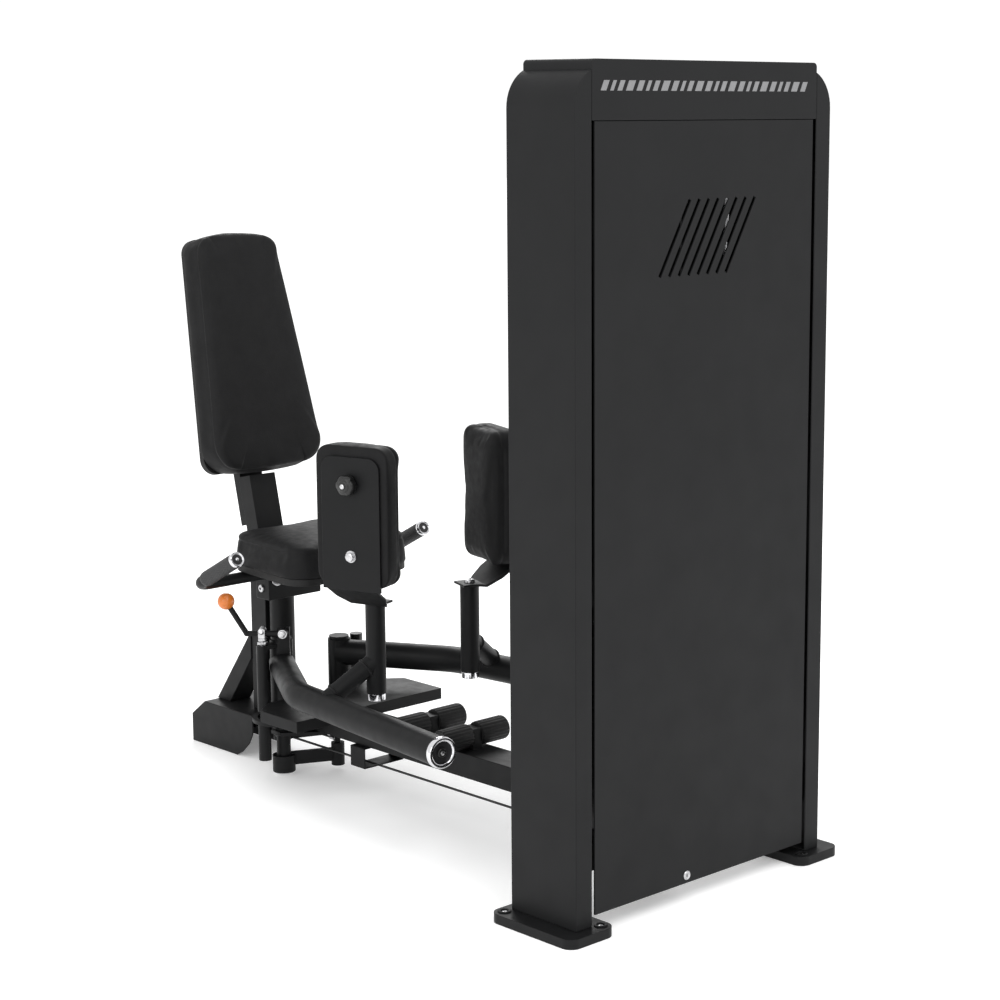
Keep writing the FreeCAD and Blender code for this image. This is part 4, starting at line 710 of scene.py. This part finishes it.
def make_pivot_hardware():
    """The bearing nut and washer under the driven shaft, and the lever's pivot bolt."""
    pivot = Vector((PIVOT_X, -PIVOT_Y, 0))
    nut = Piece("crank_nut")
    at = pivot + Z * 0.008
    nut.turned([(0.0215, 0), (0.0225, 0.0006), (0.0225, 0.0020), (0.0215, 0.0026), (0.0120, 0.0026)],
               at, -Z, ZINC)
    nut.turned([(0.0105, 0), (0.0105, 0.0026), (0.0095, 0.0032)], at - Z * 0.0024, -Z, ZINC, shape=hexagon,
               steps=36)
    nut.done("right_crank", "steel")
    along, across = Vector((-1, -1, 0)).normalized(), Vector((1, -1, 0)).normalized()
    bolt = Piece("lever_pivot_bolt")
    at = pivot - along * LEVER_ALONG + across * (LEVER_ACROSS + 0.007) + Z * LEVER_HEIGHT
    bolt.hex_bolt(at, across, 0.0066)
    bolt.done("right_arm", "steel")
    centre = pivot + along * 0.035 + across * LEVER_ACROSS
    yoke = Piece("pull_pin_clevis")
    yoke.turned([(0.0036, 0.1262), (0.0045, 0.1285), (0.0045, 0.141), (0.0070, 0.143), (0.0070, 0.300)],
                (centre.x, centre.y, 0), Z, CHROME, steps=40)
    yoke.turned([(0.0088, 0), (0.0094, 0.0008), (0.0094, 0.0062), (0.0088, 0.0070)],
                (centre.x, centre.y, 0.2952), Z, ZINC, shape=hexagon, steps=36)
    yoke.turned([(0.0070, 0.3020), (0.0085, 0.3040), (0.0085, 0.3065)], (centre.x, centre.y, 0), Z, ZINC,
                steps=36)
    yoke.block(centre + Z * 0.3086, along, across, Z, (0.0140, 0.0250, 0.0056), ZINC)
    for sign in (1, -1):
        side_at = centre + across * sign * 0.0105
        yoke.block(side_at + Z * 0.3195, along, across, Z, (0.0140, 0.0038, 0.0176), ZINC)
        yoke.turned([(0.0070, -0.0019), (0.0070, 0.0019)], side_at + Z * 0.3265, across, ZINC, steps=40)
        yoke.turned([(0.0042, 0.0), (0.0042, 0.0022), (0.0034, 0.0028)],
                    side_at + across * sign * 0.0018 + Z * 0.3265, across * sign, CHROME, steps=24)
    yoke.done("pull_pin", "steel", "pull_pin")


def make_cables():
    """The cable down to the weights and the run to the crank."""
    low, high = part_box("cable_drop")
    radius, strand_count, rows = 0.0025, 6, 40
    stack_travel, crank_pull = 0.059, 0.057

    def strands(angle):
        return 1 - 0.05 * abs(math.sin(angle * strand_count / 2))

    drop = Piece("weight_cable")
    length = high.z - low.z
    middle = ((low.x + high.x) / 2, (low.y + high.y) / 2, 0)
    drop.turned([(radius, low.z + length * i / rows) for i in range(rows + 1)], middle, Z, SHEATH,
                steps=24, shape=strands)
    hung = drop.done("frame", "cable_sheath", "cable_drop")
    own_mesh(hung)
    low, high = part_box("cable_tail")
    tail = Piece("crank_cable")
    start = low.x - crank_pull
    side, height = (low.y + high.y) / 2, (low.z + high.z) / 2
    tail.turned([(radius, (high.x - start) * i / rows) for i in range(rows + 1)], (start, side, height), X,
                SHEATH, steps=24, shape=strands)
    tail.turned([(0.0040, -0.0005), (0.0046, 0.0005), (0.0046, 0.016), (0.0036, 0.018)],
                (high.x - 0.019, side, height), X, ZINC, steps=32)
    tail.done("cable_tail", "cable_sheath", "cable_tail")


def make_weld_beads():
    """Weld beads where round tubes meet plates and each other."""
    for side, sign in SIDES:
        beads = Piece(f"{side}_arm_welds")
        beads.bead((PIVOT_X, sign * PIVOT_Y, 0.1540), Z, 0.0238, 0.0022, ripples=60)
        foot = Vector((-0.0675, sign * 0.225, 0.258))
        head = Vector((PAD_X, sign * PAD_Y, 0.330))
        run = (head - foot).normalized()
        beads.bead(head - run * 0.026, run, 0.0188, 0.0026, ripples=48)
        beads.bead(foot + run * 0.021, run, 0.0188, 0.0028, ripples=48)
        beads.done(f"{side}_arm", "frame_paint")
    beads = Piece("frame_welds")
    low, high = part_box("roller_mounts")
    block_half = 0.018
    for centre_x in (high.x - block_half, low.x + block_half):
        beads.block((centre_x, 0, BEAM_TOP + 0.0005), X, Y, Z, (0.041, 0.029, 0.003), PAINT, edge=0.0014)
    for sign in (1, -1):
        beads.bead((-0.4745, sign * 0.0705, 0.433), Y, 0.0124, 0.0022, ripples=36)
        beads.bead((PIVOT_X, sign * PIVOT_Y, 0.1015), Z, 0.0218, 0.0022, ripples=48)
    beads.bead((-0.5115, 0, BEAM_TOP + 0.0005), Z, 0.0268, 0.0026, ripples=60)
    beads.done("frame", "frame_paint")


make_camera()
make_studio()
make_floor()
dress_nodes()
make_cushions()
make_header_bars()
make_grips()
make_rollers()
make_arm_ends()
make_pad_fittings()
make_frame_hardware()
make_pivot_hardware()
make_cables()
make_weld_beads()
